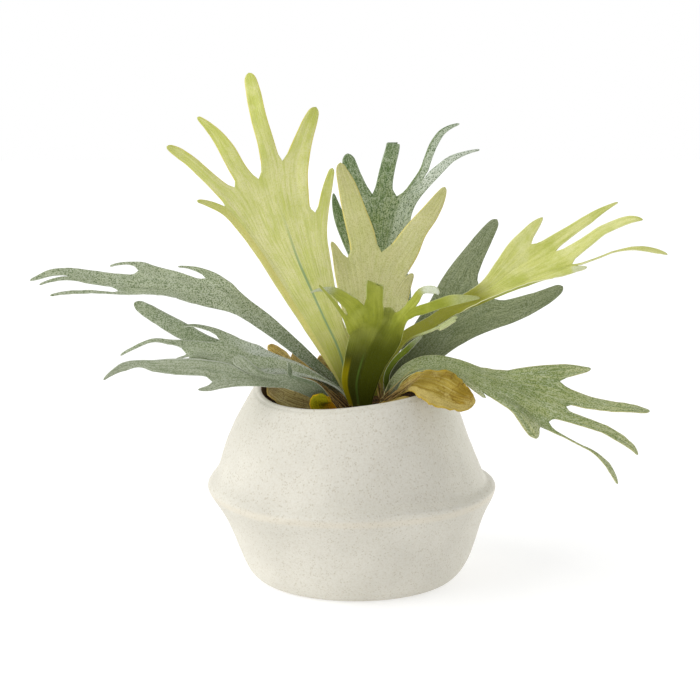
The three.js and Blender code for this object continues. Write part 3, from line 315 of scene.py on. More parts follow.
               [(304, 365, 14, 8), (298, 359, 13, 7), (292, 353.5, 12, 5)],
               [(321, 367, 16, 8), (321, 361, 16, 6.5), (319.5, 355.5, 15, 5)]],
        notches=[(286, 357), (311, 361)]),
    "leaf_bud": dict(
        foot=(-8, -35), blade=2.4, face=[(0, -0.9, 0.4)],
        stalk=[(328.5, 408, -43, 7)],
        lobes=[[(321.5, 405.5, -48, 12), (320.5, 401, -51, 10.5), (321.5, 397, -53, 8.5),
                (322, 393.5, -54, 6)]],
        notches=[]),
}

# Looks of the fronds and leaves, as sRGB colours judged one by one.
#   upper, under   the two sides          tip, foot    the two ends        edge   the margin
#   pale, deep     long streaks           rib          the midrib, if it shows
#   felt, pit      hairs and the dots between them     down, pits          how strongly each shows
#   lanes, fine    how many streaks and lines of hairs     threads   how far the hairs lie in lines
#   streaks, clouds, edges, ribs, veins    how strongly streaks, patches, margin, midrib, veins show
#   rib_to         where the midrib starts to fade and ends, in mm from the foot
#   tip_from       the share of the length from which the colour turns to that of the tip
#   gloss          how strongly it reflects
#   dark           how far up from the foot, in mm, a frond stays dark; a dark foot is painted shade near the crown
#   bands          stripes along it, some of them painted shade, the pale ones of frond_left_mid partly painted
#                  highlight: from and to (-1 left or upper edge, 1 right or lower edge),
#                  full up to and faded out by (mm from the foot), colour
COMMON = dict(rib=None, felt=(204, 210, 194), pit=(84, 100, 58), down=0.1, pits=0.25, lanes=14, fine=30,
              threads=0.3, streaks=0.7, clouds=0.3, edges=0.75, ribs=0.7, rib_to=(125, 185),
              tip_from=0.72, gloss=0.12, veins=0, dark=(10, 80), bands=())


def look(**changed):
    """A look: what every frond has, and what differs on this one."""
    return SimpleNamespace(**{**COMMON, **changed})


LIME = look(
    upper=(172, 182, 84), under=(220, 219, 152), tip=(176, 182, 76), foot=(158, 160, 14),
    edge=(224, 210, 104), pale=(224, 220, 164), deep=(186, 195, 90), rib=(108, 148, 112),
    pit=(188, 194, 90), pits=0.4, lanes=15, streaks=0.6, clouds=0.4, dark=(10, 130),
    bands=((-0.95, -0.72, 150, 230, (216, 208, 122)),))
KHAKI = look(
    upper=(214, 212, 154), under=(168, 172, 88), tip=(176, 172, 116), foot=(204, 204, 104),
    edge=(222, 202, 100), edges=0.6, pale=(214, 208, 156), deep=(194, 195, 124), pit=(172, 174, 98),
    pits=0.5, down=0.12, dark=(8, 70), streaks=0.5, clouds=0.4)
# frond_front_olive: the near-black foot (44, 48, 0) and the dark band (68, 74, 2) near the foot are painted
# shade on its lower part, under the other fronds
OLIVE = look(
    upper=(208, 209, 184), under=(164, 171, 60), tip=(158, 164, 76), foot=(44, 48, 0),
    edge=(182, 190, 120), pale=(180, 186, 92), deep=(112, 122, 26), rib=(92, 124, 48), ribs=0.45,
    rib_to=(50, 66), pits=0.15, down=0.0, dark=(52, 106), tip_from=0.6, streaks=0.25, clouds=0.5,
    gloss=0.06, bands=((0.0, 1.2, 60, 104, (68, 74, 2)), (-1.2, -0.68, 42, 62, (154, 142, 0))))
GREEN = look(
    upper=(112, 130, 16), under=(112, 130, 16), tip=(206, 212, 190), foot=(50, 64, 0),
    edge=(214, 219, 196), pale=(140, 152, 50), deep=(84, 104, 0), dark=(10, 60), down=0.0,
    edges=0.9, tip_from=0.78)
DARK = look(
    upper=(136, 152, 92), under=(90, 112, 56), tip=(66, 98, 28), foot=(126, 140, 98),
    edge=(170, 182, 158), pale=(160, 172, 138), deep=(78, 106, 38), pit=(50, 82, 14), pits=0.9,
    down=0.5, threads=0.45, felt=(212, 219, 204), fine=34, clouds=0.5,
    bands=((0.3, 1.2, 300, 400, (184, 195, 170)),))
GREY = look(
    upper=(138, 147, 110), under=(136, 145, 104), tip=(158, 166, 130), foot=(64, 72, 38),
    edge=(150, 160, 128), pale=(138, 147, 112), deep=(102, 114, 72), pit=(82, 94, 54), pits=0.6,
    down=0.26, threads=0.4, dark=(10, 110), edges=0.4, tip_from=0.45)
# frond_right_lime: the olive foot (124, 120, 0) and the olive bands (120, 120, 0) and (122, 122, 0) are
# painted shade in the shaded channel of its stalk
YELLOWISH = look(
    upper=(198, 200, 116), under=(152, 160, 66), tip=(206, 206, 136), foot=(124, 120, 0),
    edge=(224, 224, 180), pale=(214, 214, 154), deep=(164, 174, 66), pits=0.2, pit=(150, 160, 60),
    lanes=12, streaks=0.45, clouds=0.5, down=0.08, dark=(30, 70),
    bands=((0.68, 0.97, 140, 180, (190, 200, 146)), (-1.2, 1.2, 66, 82, (120, 120, 0)),
           (-1.2, 0.66, 128, 150, (122, 122, 0))))
SILVER = look(
    upper=(184, 192, 158), under=(124, 138, 96), tip=(162, 170, 134), foot=(62, 80, 44),
    edge=(192, 198, 180), pale=(180, 188, 160), deep=(132, 146, 106), pit=(78, 99, 50), pits=0.8,
    down=0.58, threads=0.1, dark=(20, 150), streaks=0.55)
# frond_left_low: the darker band (96, 110, 78) along its edge is painted shadow under the lip of
# frond_left_mid
ASHEN = look(
    upper=(146, 154, 122), under=(146, 154, 122), tip=(186, 191, 168), foot=(98, 108, 78),
    edge=(188, 194, 176), pale=(156, 164, 138), deep=(108, 121, 84), pit=(92, 108, 66), pits=0.5,
    down=0.4, dark=(16, 110), tip_from=0.35,
    bands=((0.55, 1.2, 60, 90, (96, 110, 78)),))
# frond_right_front: the near-black band (34, 42, 0) along its stalk is painted shade inside the folded
# channel
JADE = look(
    upper=(144, 153, 86), under=(110, 122, 88), tip=(192, 194, 138), foot=(92, 92, 36),
    edge=(194, 190, 134), pale=(170, 177, 132), deep=(100, 118, 46), pit=(78, 100, 34), pits=0.7,
    down=0.48, threads=0.42, fine=34, dark=(14, 60), bands=((-0.8, -0.15, 52, 70, (34, 42, 0)),))
# frond_left_mid: the pale bands (190, 196, 182) along both margins are its paler felted margin, with
# painted highlight on the lit lip
PALE = look(
    upper=(178, 186, 154), under=(128, 141, 100), tip=(160, 168, 136), foot=(58, 76, 36),
    edge=(202, 207, 190), pale=(176, 183, 158), deep=(132, 146, 108), pit=(86, 108, 56), pits=0.75,
    down=0.5, threads=0.25, dark=(16, 80), streaks=0.5,
    bands=((0.5, 1.2, 96, 130, (190, 196, 182)), (-1.2, -0.55, 96, 130, (190, 196, 182))))
MUSTARD = look(
    upper=(172, 152, 66), under=(168, 146, 66), tip=(176, 140, 30), foot=(150, 122, 46),
    edge=(186, 156, 50), pale=(206, 192, 124), deep=(122, 100, 14), pits=0.3, pit=(116, 86, 22), veins=0.5,
    down=0.0, lanes=8, streaks=0.5, clouds=0.6, dark=(2, 22),
    bands=((0.5, 1.2, 300, 400, (184, 166, 96)), (-0.72, -0.62, 34, 52, (84, 44, 22)),
           (-0.4, -0.32, 30, 48, (96, 54, 26))))
PAPERY = look(
    upper=(184, 165, 98), under=(168, 148, 84), tip=(152, 138, 88), foot=(172, 148, 80), tip_from=0.4,
    edge=(176, 150, 72), pale=(218, 205, 152), deep=(112, 86, 42), pits=0.4, pit=(84, 62, 28), veins=0.45,
    down=0.0, lanes=20, streaks=0.8, clouds=0.5, dark=(2, 14))
STRAW = look(
    upper=(214, 190, 114), under=(204, 180, 106), tip=(252, 212, 108), foot=(186, 160, 88), tip_from=0.3,
    edge=(224, 186, 92), pale=(234, 219, 164), deep=(146, 112, 54), pits=0.3, pit=(110, 80, 36), veins=0.4,
    down=0.0, lanes=20, streaks=0.8, clouds=0.45, dark=(2, 14))
BUD = look(
    upper=(160, 148, 0), under=(156, 138, 0), tip=(140, 144, 4), foot=(220, 146, 0),
    edge=(196, 152, 0), pale=(180, 166, 6), deep=(110, 108, 0), pits=0.5, pit=(60, 64, 0),
    down=0.0, dark=(14, 32))
LOOKS = {
    "frond_tall_lime": LIME, "frond_pale_centre": KHAKI, "frond_front_olive": OLIVE,
    "frond_back_dark": DARK, "frond_right_back": GREY, "frond_right_lime": YELLOWISH,
    "frond_left_high": SILVER, "frond_left_dark": SILVER, "frond_left_mid": PALE,
    "frond_left_low": ASHEN, "frond_right_front": JADE, "leaf_narrow": GREEN,
    "basal_leaf_right": MUSTARD, "basal_leaf_small": MUSTARD, "basal_leaf_left": PAPERY,
    "basal_leaf_back": STRAW, "leaf_bud": BUD,
}
RIB_LOBE = {"frond_tall_lime": 2, "frond_front_olive": 3}  # the lobe that the coloured midrib runs into
WHITE_LOBES = {  # how white with felt single lobes are, and from which share of their length on
    "frond_front_olive": {0: (0.22, 0.45), 1: (1.0, 0.3), 4: (0.6, 0.45)},
    "frond_back_dark": {4: (1.0, -0.3)},
    "frond_right_lime": {4: (0.55, -0.25)},
}


def unit(v):
    """Vectors scaled to length 1."""
    return v / np.maximum(np.linalg.norm(v, axis=-1, keepdims=True), 1e-9)


def placed(row):
    """Row in millimetres of a point chosen in the reference view."""
    across, down, depth, half = row[:4]
    rise = row[4] if len(row) > 4 else 0
    ray = FORWARD + np.array([1, 0, 0]) * (across - MIDDLE) / FOCAL + UPWARD * (MIDDLE - down) / FOCAL
    point = VIEW + ray * (depth - VIEW[1]) / ray[1]
    return np.array([*point, half * ((point - VIEW) @ FORWARD) / FOCAL, rise])


def seen(points):
    """Where the reference view shows points, in pixels."""
    offset = points - VIEW
    scale = FOCAL / (offset @ FORWARD)
    return np.stack([MIDDLE + scale * offset[:, 0], MIDDLE - scale * (offset @ UPWARD)], -1)


class Vein:
    """Smooth curve through rows x, y, z, half width, face; all columns are carried along."""

    def __init__(self, rows, pieces=12):
        rows = np.array(rows, float)
        gaps = np.sqrt(np.linalg.norm(np.diff(rows[:, :3], axis=0), axis=1))[:, None]
        slopes = np.diff(rows, axis=0) / gaps
        inner = (slopes[:-1] * gaps[1:] + slopes[1:] * gaps[:-1]) / (gaps[:-1] + gaps[1:])
        tangents = np.vstack([2 * slopes[:1] - inner[:1], inner, 2 * slopes[-1:] - inner[-1:]])
        s = np.arange(1, pieces + 1)[:, None] / pieces
        samples = [rows[:1]]
        for i, gap in enumerate(gaps):
            samples.append(
                rows[i] * (2 * s**3 - 3 * s**2 + 1) + tangents[i] * gap * (s**3 - 2 * s**2 + s)
                + rows[i + 1] * (3 * s**2 - 2 * s**3) + tangents[i + 1] * gap * (s**3 - s**2))
        self.samples = np.vstack(samples)
        steps = np.linalg.norm(np.diff(self.samples[:, :3], axis=0), axis=1)
        self.distances = np.concatenate([[0], np.cumsum(steps)])
        self.length = self.distances[-1]

    def at(self, distance):
        """Row at a distance along the curve."""
        columns = [np.interp(distance, self.distances, column) for column in self.samples.T]
        return np.stack(columns, -1)

    def along(self, distance):
        """Direction of the curve at a distance."""
        return unit((self.at(np.asarray(distance) + 1) - self.at(np.asarray(distance) - 1))[..., :3])

    def closest_to(self, pixel):
        """Distance along the curve at which the reference view shows it closest to a pixel."""
        away = np.linalg.norm(seen(self.samples[:, :3]) - np.array(pixel), axis=1)
        return self.distances[np.argmin(away)]


def nearest(rows, i):
    """Row i, or the first or last one past the ends."""
    return rows[min(max(i, 0), len(rows) - 1)]


def veins_of(frond):
    """One vein a lobe: through the stalk, side by side, then along the lobe's own path."""
    upper = [placed(row) for row in frond["stalk"]]
    stalk = [np.array([*frond["foot"], FOOT_Z, upper[0][3], 0]), *upper]
    count = len(frond["lobes"])
    veins = []
    for k, path in enumerate(frond["lobes"]):
        place = (2 * k + 1 - count) / count
        rows = []
        for i, row in enumerate(stalk):
            face = unit(np.array(nearest(frond["face"], i - 1), float))
            ahead = nearest(stalk, i + 1)[:3] - nearest(stalk, i - 1)[:3]
            across = unit(np.cross(unit(ahead), face))
            point = row[:3] + across * place * row[3] + face * row[4] * place**2
            rows.append([*point, row[3] / count, *face])
        faces = frond.get("lobe_faces", {}).get(k, frond["face"][-1:])
        for i, row in enumerate(path):
            rows.append([*placed(row)[:4], *unit(np.array(nearest(faces, i), float))])
        veins.append(Vein(rows))
    return veins


def warps_of(veins, cuts, levels):
    """For each vein, knots that turn a level shared by the rows into a distance along that vein."""
    warps = []
    for k, vein in enumerate(veins):
        marks = []
        if k > 0:
            marks.append((levels[k - 1], cuts[k - 1][1]))
        if k < len(levels):
            marks.append((levels[k], cuts[k][0]))
        knots = [(0, 0)]
        for level, own in sorted(marks):
            before, reached = knots[-1]
            if level - before >= SAME_CUT:
                knots.append((level, max(own, reached + LEAST_STRETCH * (level - before))))
        before, reached = knots[-1]
        knots.append((before + vein.length - reached, vein.length))
        warps.append(np.array(knots, float))
    return warps


def smooth(x):
    """0 to 1 with soft ends."""
    x = np.clip(x, 0, 1)
    return x * x * (3 - 2 * x)


def rounded(x):
    """Quarter of a circle from 0 to 1."""
    x = np.clip(x, 0, 1)
    return np.sqrt(x * (2 - x))


def shared_rows(levels):
    """Levels of the rows that neighbours share, with one at each cut."""
    rows = [0.0]
    for level in sorted(levels):
        start = rows[-1]
        if level - start >= SAME_ROW:
            pieces = max(1, round((level - start) / ROW_STEP))
            rows.extend(start + (level - start) * np.arange(1, pieces + 1) / pieces)
    return np.array(rows)


class Sheet:
    """Middle surface of a frond: a strip of rows round each vein, sewn to its neighbours up to the cuts.
    Its columns run from the left edge over the vein to the right edge, in straight lines."""

    def __init__(self, frond, rib_lobe, white, ragged):
        self.frond = frond
        self.ragged = ragged
        self.rib_lobe = rib_lobe
        self.white = white
        self.veins = veins_of(frond)
        last = self.veins[-1].samples[-1, :3] - self.veins[0].samples[-1, :3]
        self.flip = 1.0 if len(self.veins) == 1 or last @ LOWER_RIGHT > 0 else -1.0
        self.cuts = [
            [min(vein.closest_to(notch), vein.length - SHORTEST_LOBE) for vein in self.veins[k:k + 2]]
            for k, notch in enumerate(frond["notches"])]
        self.levels = [sum(pair) / 2 for pair in self.cuts]
        self.warps = warps_of(self.veins, self.cuts, self.levels)
        self.points, self.triangles, self.values = [], [], []
        self.count = 0
        grid = shared_rows(self.levels)
        previous = None
        for k in range(len(self.veins)):
            previous = self.strip(k, grid, previous)
        self.points = np.vstack(self.points)
        self.values = np.vstack(self.values)
        self.triangles = np.vstack(self.triangles)

    def at(self, k, level):
        """Row of vein k at a level that the veins share."""
        return self.veins[k].at(np.interp(level, *self.warps[k].T))

    def sideways(self, k, side, level, t, tangent, own):
        """Direction to the neighbour, kept from the cut on and eased into the lobe's own side."""
        held = np.minimum(t, level)
        way = unit((self.at(k + side, held) - self.at(k, held))[:, :3])
        flat = unit(way - tangent * (way * tangent).sum(1, keepdims=True))
        ease = smooth((t - level) / SETTLE)[:, None]
        return unit(flat + (own * side - flat) * ease)

    def inner_edge(self, k, side, level, t, row, tangent, own, half):
        """Edge towards a neighbour: their seam, then the rounded cut, then the lobe's own edge."""
        other = self.at(k + side, t)
        share = np.clip(row[:, 3] / (row[:, 3] + other[:, 3]), 0.2, 0.8)[:, None]
        seam = row[:, :3] + (other - row)[:, :3] * share
        room = np.maximum(np.linalg.norm(seam - row[:, :3], axis=1) - HALF_CUT, LEAST_ROOM)
        kept = np.where(t < level + HELD, np.minimum(half, room), half)[:, None]
        edge = row[:, :3] + self.sideways(k, side, level, t, tangent, own) * kept
        sinus = min(SINUS, 0.25 * (self.warps[k][-1, 0] - level))
        opened = rounded((t - level) / sinus)[:, None]
        return np.where((t <= level + SLACK)[:, None], seam, seam + (edge - seam) * opened)

    def edge(self, k, side, t, row, tangent, own, half):
        """Left (side -1) or right (1) edge of strip k, and how free of a neighbour it is."""
        j = k - 1 if side < 0 else k
        if 0 <= j < len(self.levels):
            free = smooth((t - self.levels[j]) / FRINGE)
            return self.inner_edge(k, side, self.levels[j], t, row, tangent, own, half), free
        inner = k if side < 0 else k - 1
        free = np.ones(len(t))
        if not 0 <= inner < len(self.levels) or k in self.frond.get("folded", ()):
            return row[:, :3] + own * side * half[:, None], free
        way = self.sideways(k, -side, self.levels[inner], t, tangent, own)
        return row[:, :3] - way * half[:, None], free

    def uneven(self, row, seed):
        """Ragged margin of a dry leaf, as a factor of its half width."""
        long, short = RAGS
        return 1 + self.ragged * (ripple(row[:, :3], long, seed) + ripple(row[:, :3], short, seed + 9))

    def strip(self, k, grid, previous):
        """Rows of one strip; its left column is the previous strip's right one up to their cut."""
        vein = self.veins[k]
        near = [self.levels[j] for j in (k - 1, k) if 0 <= j < len(self.levels)]
        joined = max([0, *near])
        end = self.warps[k][-1, 0]
        pieces = max(8, round((end - joined) / ROW_STEP))
        own_rows = joined + (end - joined) * (1 - (1 - np.arange(1, pieces + 1) / pieces) ** TIP_CROWDING)
        t = np.concatenate([grid[grid <= joined + SLACK], own_rows])
        d = np.interp(t, *self.warps[k].T)
        row = vein.at(d)
        tangent = vein.along(d)
        own = unit(np.cross(tangent, row[:, 4:7]))
        tip = np.clip((vein.length - d) / max(TIP_ROUNDING * vein.samples[-1, 3], SHORTEST_TIP), 0, 1)
        half = row[:, 3] * rounded(tip)
        left, free_left = self.edge(k, -1, t, row, tangent, own, half * self.uneven(row, 5))
        right, free_right = self.edge(k, 1, t, row, tangent, own, half * self.uneven(row, 6))
        u = np.linspace(-1, 1, 2 * COLUMNS + 1)
        middle = row[:, None, :3]
        sides = np.where((u < 0)[None, :, None], left[:, None], right[:, None])
        points = middle + (sides - middle) * np.abs(u)[None, :, None]
        free = np.where(u < 0, free_left[:, None], free_right[:, None])
        margin = np.abs(u) * free
        reach = np.repeat(t[:, None], len(u), 1)
        across = (2 * k + u[None, :] + 1) / len(self.veins) - 1
        across = np.repeat(across * self.flip, len(t), 0)
        amount, start = self.white.get(k, (0, 0))
        white = amount * smooth(((t - joined) / (end - joined) - start) / 0.3)
        white = np.repeat(white[:, None], len(u), 1)
        rib = np.full(points.shape[:2], NO_RIB)
        if k == self.rib_lobe:
            rib = np.linalg.norm(points - middle, axis=2)
        numbers = self.count + np.arange(points[:, :, 0].size).reshape(points.shape[:2])
        numbers[-1] = numbers[-1, COLUMNS]
        if previous is not None:
            sewn = np.nonzero(t <= self.levels[k - 1] + SLACK)[0]
            numbers[sewn, 0] = previous[sewn, -1]
        self.count += points[:, :, 0].size
        self.points.append(points.reshape(-1, 3))
        self.values.append(
            np.stack([reach, reach / end, margin, across, rib, white], -1).reshape(-1, 6))
        a, b, e, f = numbers[:-1, :-1], numbers[:-1, 1:], numbers[1:, 1:], numbers[1:, :-1]
        both = np.stack([a, b, e, a, e, f], -1).reshape(-1, 3)
        keep = (both[:, 0] != both[:, 1]) & (both[:, 1] != both[:, 2]) & (both[:, 0] != both[:, 2])
        self.triangles.append(both[keep])
        return numbers


def normals_of(points, triangles):
    """Vertex normals, weighted by the triangles' areas."""
    a, b, c = (points[triangles[:, i]] for i in range(3))
    normal = np.cross(b - a, c - a)
    total = np.zeros_like(points)
    for i in range(3):
        np.add.at(total, triangles[:, i], normal)
    return unit(total)


def ripple(points, scale, seed, count=7):
    """Smooth wandering value from -1 to 1: sines of the position along random directions, averaged."""
    rng = np.random.default_rng(seed)
    ways = unit(rng.normal(size=(count, 3))) * rng.uniform(0.6, 1.5, (count, 1))
    turns = points @ ways.T * (2 * math.pi / scale) + rng.uniform(0, 2 * math.pi, count)
    return np.sin(turns).mean(1) * 1.6


def unevenness(points, seed, *waves):
    """Ripples of several lengths, each with its own height, added up."""
    return sum(ripple(points, length, seed + i) * height for i, (length, height) in enumerate(waves))


def closed_blade(frond, rib_lobe, white, seed, wave, frill, ragged):
    """Points, triangles and values of a frond as a closed body that thins to its margin.
    The middle surface is waved along its normals, then moved half the thickness to each side."""
    sheet = Sheet(frond, rib_lobe, white, ragged)
    used, triangles = np.unique(sheet.triangles, return_inverse=True)
    triangles = triangles.reshape(-1, 3)
    points, values = sheet.points[used], sheet.values[used]
    reach, margin = values[:, 0], values[:, 2]
    normals = normals_of(points, triangles)
    free = smooth((reach - STILL) / RISING)
    lift = unevenness(points, seed, *WAVES) * free
    at_edge = smooth((margin - 0.4) / 0.6) * free
    ruffle = unevenness(points, seed + 2, *RUFFLES) * at_edge
    points = points + normals * (lift * wave + ruffle * frill)[:, None]
    normals = normals_of(points, triangles)
    blade = frond.get("blade", BLADE)
    stalk = max(0, STALK_THICKNESS - blade) * np.clip(1 - reach / STALK_LENGTH, 0, 1)
    thickness = (blade + stalk) * (1 - 0.5 * smooth((margin - 0.55) / 0.45))
    half = normals * (thickness / 2)[:, None]
    count = len(points)
    pairs = np.vstack([triangles[:, [0, 1]], triangles[:, [1, 2]], triangles[:, [2, 0]]])
    code = pairs[:, 0] * count + pairs[:, 1]
    open_pairs = pairs[~np.isin(code, pairs[:, 1] * count + pairs[:, 0])]
    u, v = open_pairs.T
    walls = np.vstack([np.stack([v, u, u + count], 1), np.stack([v, u + count, v + count], 1)])
    faces = np.vstack([triangles, triangles[:, [0, 2, 1]] + count, walls])
    under = np.concatenate([np.zeros(count), np.ones(count)])[:, None]
    return np.vstack([points + half, points - half]), faces, np.hstack([np.tile(values, (2, 1)), under])


def linked(name, data):
    """New object in the scene, at the origin and unturned."""
    made = bpy.data.objects.new(name, data)
    bpy.context.collection.objects.link(made)
    return made


def new_mesh(name, points, faces, material):
    """Smooth mesh object from points in mm and a list of faces."""
    mesh = bpy.data.meshes.new(name)
    mesh.from_pydata((points * MM).tolist(), [], faces)
    mesh.polygons.foreach_set("use_smooth", np.ones(len(mesh.polygons), bool))
    mesh.materials.append(material)
    return linked(name, mesh)


def put_mesh(name, points, faces, material):
    """The same as a piece of the plant or pot, riding on the one body."""
    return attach(new_mesh(name, points, faces, material), "root")


def put_value(piece, name, values):
    """Number at every point of a piece, read by its material."""
    layer = piece.data.attributes.new(name, "FLOAT", "POINT")
    layer.data.foreach_set("value", np.asarray(values, np.float32))


def linear(colour):
    """Linear RGBA of an sRGB colour given as 0 to 255."""
    parts = [c / 255 for c in colour]
    parts = [c / 12.92 if c <= 0.04045 else ((c + 0.055) / 1.055) ** 2.4 for c in parts]
    return (*parts, 1)


class Graph:
    """Node tree of a new material, with short calls for the nodes that the looks need.
    Its colour is built up in coats, each laid over the ones before."""

    def __init__(self, name, roughness, specular, sheen=0.0):
        self.material = bpy.data.materials.new(name)
        self.material.use_nodes = True
        self.tree = self.material.node_tree
        self.shader = self.tree.nodes["Principled BSDF"]
        self.shader.inputs["Roughness"].default_value = roughness
        self.shader.inputs["Specular IOR Level"].default_value = specular
        self.shader.inputs["Sheen Weight"].default_value = sheen
        self.shader.inputs["Sheen Roughness"].default_value = 0.5
        self.colour = None

    def feed(self, socket, value):
        """Links a socket to another, or sets it to a number, a list or an sRGB colour given as a tuple."""
        if isinstance(value, bpy.types.NodeSocket):
            self.tree.links.new(value, socket)
        elif isinstance(value, tuple):
            socket.default_value = linear(value)
        else:
            socket.default_value = value

    def node(self, kind, result, inputs, **settings):
        """Result of a new node with its inputs fed."""
        made = self.tree.nodes.new("ShaderNode" + kind)
        for name, value in settings.items():
            setattr(made, name, value)
        for name, value in inputs.items():
            self.feed(made.inputs[name], value)
        return next(socket for socket in made.outputs if socket.name == result and socket.enabled)

    def value(self, name):
        """Number kept at the points of the piece."""
        return self.node("Attribute", "Fac", {}, attribute_name=name)

    def place(self, stretch=(1, 1, 1)):
        """Object coordinates, stretched."""
        spot = self.node("TexCoord", "Object", {})
        return self.node("Mapping", "Vector", {"Vector": spot, "Scale": list(stretch)})

    def joined(self, x, y, z):
        return self.node("CombineXYZ", "Vector", {"X": x, "Y": y, "Z": z})

    def noise(self, vector, scale, detail, rough=0.5):
        inputs = {"Vector": vector, "Scale": scale, "Detail": detail, "Roughness": rough}
        return self.node("TexNoise", "Fac", inputs)

    def cells(self, vector, scale):
        return self.node("TexVoronoi", "Distance", {"Vector": vector, "Scale": scale})

    def math(self, operation, a, b=0.0):
        return self.node("Math", "Value", {0: a, 1: b}, operation=operation)

    def times(self, a, b):
        return self.math("MULTIPLY", a, b)

    def ramp(self, value, low, high, start=0.0, end=1.0):
        """Smooth step from start to end while value goes from low to high."""
        inputs = {"Value": value, "From Min": low, "From Max": high, "To Min": start, "To Max": end}
        return self.node("MapRange", "Result", inputs, interpolation_type="SMOOTHSTEP")

    def bump(self, height, distance, strength, under=None):
        """Bumps of a height, distance mm tall where height is 1, on top of other bumps."""
        inputs = {"Height": height, "Distance": distance * MM, "Strength": strength}
        if under is not None:
            inputs["Normal"] = under
        return self.node("Bump", "Normal", inputs)

    def mix(self, share, a, b):
        """Colour a turned into b by a share."""
        return self.node("Mix", "Result", {"Factor": share, "A": a, "B": b}, data_type="RGBA")

    def coat(self, share, colour):
        """Lays a colour over the coats so far, as strongly as share says."""
        self.colour = self.mix(share, self.colour, colour)

    def finish(self, normal=None):
        self.feed(self.shader.inputs["Base Color"], self.colour)
        if normal is not None:
            self.feed(self.shader.inputs["Normal"], normal)
        return self.material


def blade_material(name, look):
    """Skin of a frond: two sides, tip, streaks, patches, veins, foot, bands, felt, midrib and margin. A
    dark foot is painted shade, and so are the dark bands of frond_front_olive, frond_right_lime,
    frond_left_low and frond_right_front; the pale bands of frond_left_mid are partly painted highlight.
    """
    g = Graph(name, roughness=0.6, specular=look.gloss, sheen=0.03)
    reach, part, margin, across, white = (
        g.value(label) for label in ("reach", "part", "margin", "across", "white"))
    spot = g.place()
    lanes, far_lanes = (
        g.joined(g.times(across, look.lanes), g.times(reach, 0.03), layer) for layer in (0.0, 9.0))
    g.colour = g.mix(g.ramp(g.value("under"), 0.3, 0.7), look.upper, look.under)
    g.coat(g.ramp(part, look.tip_from, 1.0, 0, 0.85), look.tip)
    g.coat(g.ramp(g.noise(lanes, 1.0, 3, 0.6), 0.44, 0.66, 0, look.streaks), look.pale)
    g.coat(g.ramp(g.noise(far_lanes, 1.3, 3, 0.6), 0.44, 0.64, 0, look.streaks), look.deep)
    g.coat(g.ramp(g.noise(spot, 45, 3), 0.42, 0.66, 0, look.clouds), look.deep)
    g.coat(g.ramp(g.noise(spot, 70, 3), 0.46, 0.7, 0, look.clouds), look.pale)
    if look.veins:
        wander = g.math("ABSOLUTE", g.math("SUBTRACT", g.noise(spot, 75, 3), 0.5))
        g.coat(g.ramp(wander, 0.004, 0.02, look.veins, 0), look.pit)
    # painted shade: a dark foot colour darkens the stalk near the crown, where it lies in shade
    near, fade = look.dark
    g.coat(g.ramp(reach, near, fade, 0.92, 0), look.foot)
    # bands: some are the frond's own colour, some painted shade, the pale ones of frond_left_mid partly
    # painted highlight
    for start, end, near, fade, paint in look.bands:
        inside = g.times(g.ramp(across, start - 0.07, start + 0.05),
                         g.ramp(across, end - 0.05, end + 0.07, 1, 0))
        g.coat(g.times(inside, g.ramp(reach, near, fade, 0.92, 0)), paint)
    threads = g.noise(g.joined(g.times(across, look.fine), g.times(reach, 0.3), 3.0), 1.0, 2, 0.6)
    grain = g.math("ADD", g.times(g.noise(spot, 1150, 1, 0.5), 1 - look.threads),
                   g.times(threads, look.threads))
    g.coat(g.times(white, 0.75), look.felt)
    down = g.math("MAXIMUM", white, look.down)
    clumps = g.times(g.ramp(g.noise(spot, 75, 2), 0.3, 0.65, 0.55, 1), down)
    g.coat(g.times(g.ramp(grain, 0.4, 0.5, 1, 0), look.pits), look.pit)
    g.coat(g.times(g.ramp(grain, 0.47, 0.6, 0.15, 0.8), clumps), look.felt)
    if look.rib:
        rib = g.times(g.ramp(g.value("rib"), 0.4, 1.2, 1, 0), g.ramp(reach, *look.rib_to, 1, 0))
        g.coat(g.times(rib, look.ribs), look.rib)
    g.coat(g.ramp(margin, 0.86, 0.97, 0, look.edges), look.edge)
    normal = g.bump(g.noise(lanes, 1.3, 3, 0.6), 1.1, 0.6)
    return g.finish(g.bump(grain, 0.12, 0.5, normal))


def put_frond(name, frond, seed):
    """Finer copy of one frond or leaf, which stands for its CAD node. The basal leaves are dry."""
    wave, frill, ragged = DRY_LEAF if name.startswith("basal") else FRESH_LEAF
    points, faces, values = closed_blade(
        frond, RIB_LOBE.get(name), WHITE_LOBES.get(name, {}), seed, wave, frill, ragged)
    material = blade_material(name + "_skin", LOOKS[name])
    piece = put_mesh("fine_" + name, points, faces.tolist(), material)
    for column, label in enumerate(("reach", "part", "margin", "across", "rib", "white", "under")):
        put_value(piece, label, values[:, column])
    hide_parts(name)


def outside_radius(z):
    """Outer radius of the pot without its lip: a side that widens to the belt by a power of the height,
    less a quarter circle at the foot, then a slightly bulging cone that draws in to the rim."""
    z = np.asarray(z, float)
    s = np.clip(z / POT.belt_z, 0, 1)
    corner = (POT.side - POT.foot) * (1 - rounded(z / FOOT_ROUNDING))
    below = POT.side + (POT.belt - POT.side) * s**SIDE_CURVE - corner
    u = (z - POT.belt_z) / (POT.rim_z - POT.belt_z)
    above = POT.rim + (POT.belt - POT.rim) * (1 - u) * (1 + SHOULDER_CURVE * u)
    return np.where(z <= POT.belt_z, below, above)


def hill(x):
    """Bell curve, 1 at 0."""
    return np.exp(-(x**2))


def turn_between(a, b):
    """Angle from b to a, the short way round."""
    return np.angle(np.exp(1j * (a - b)))


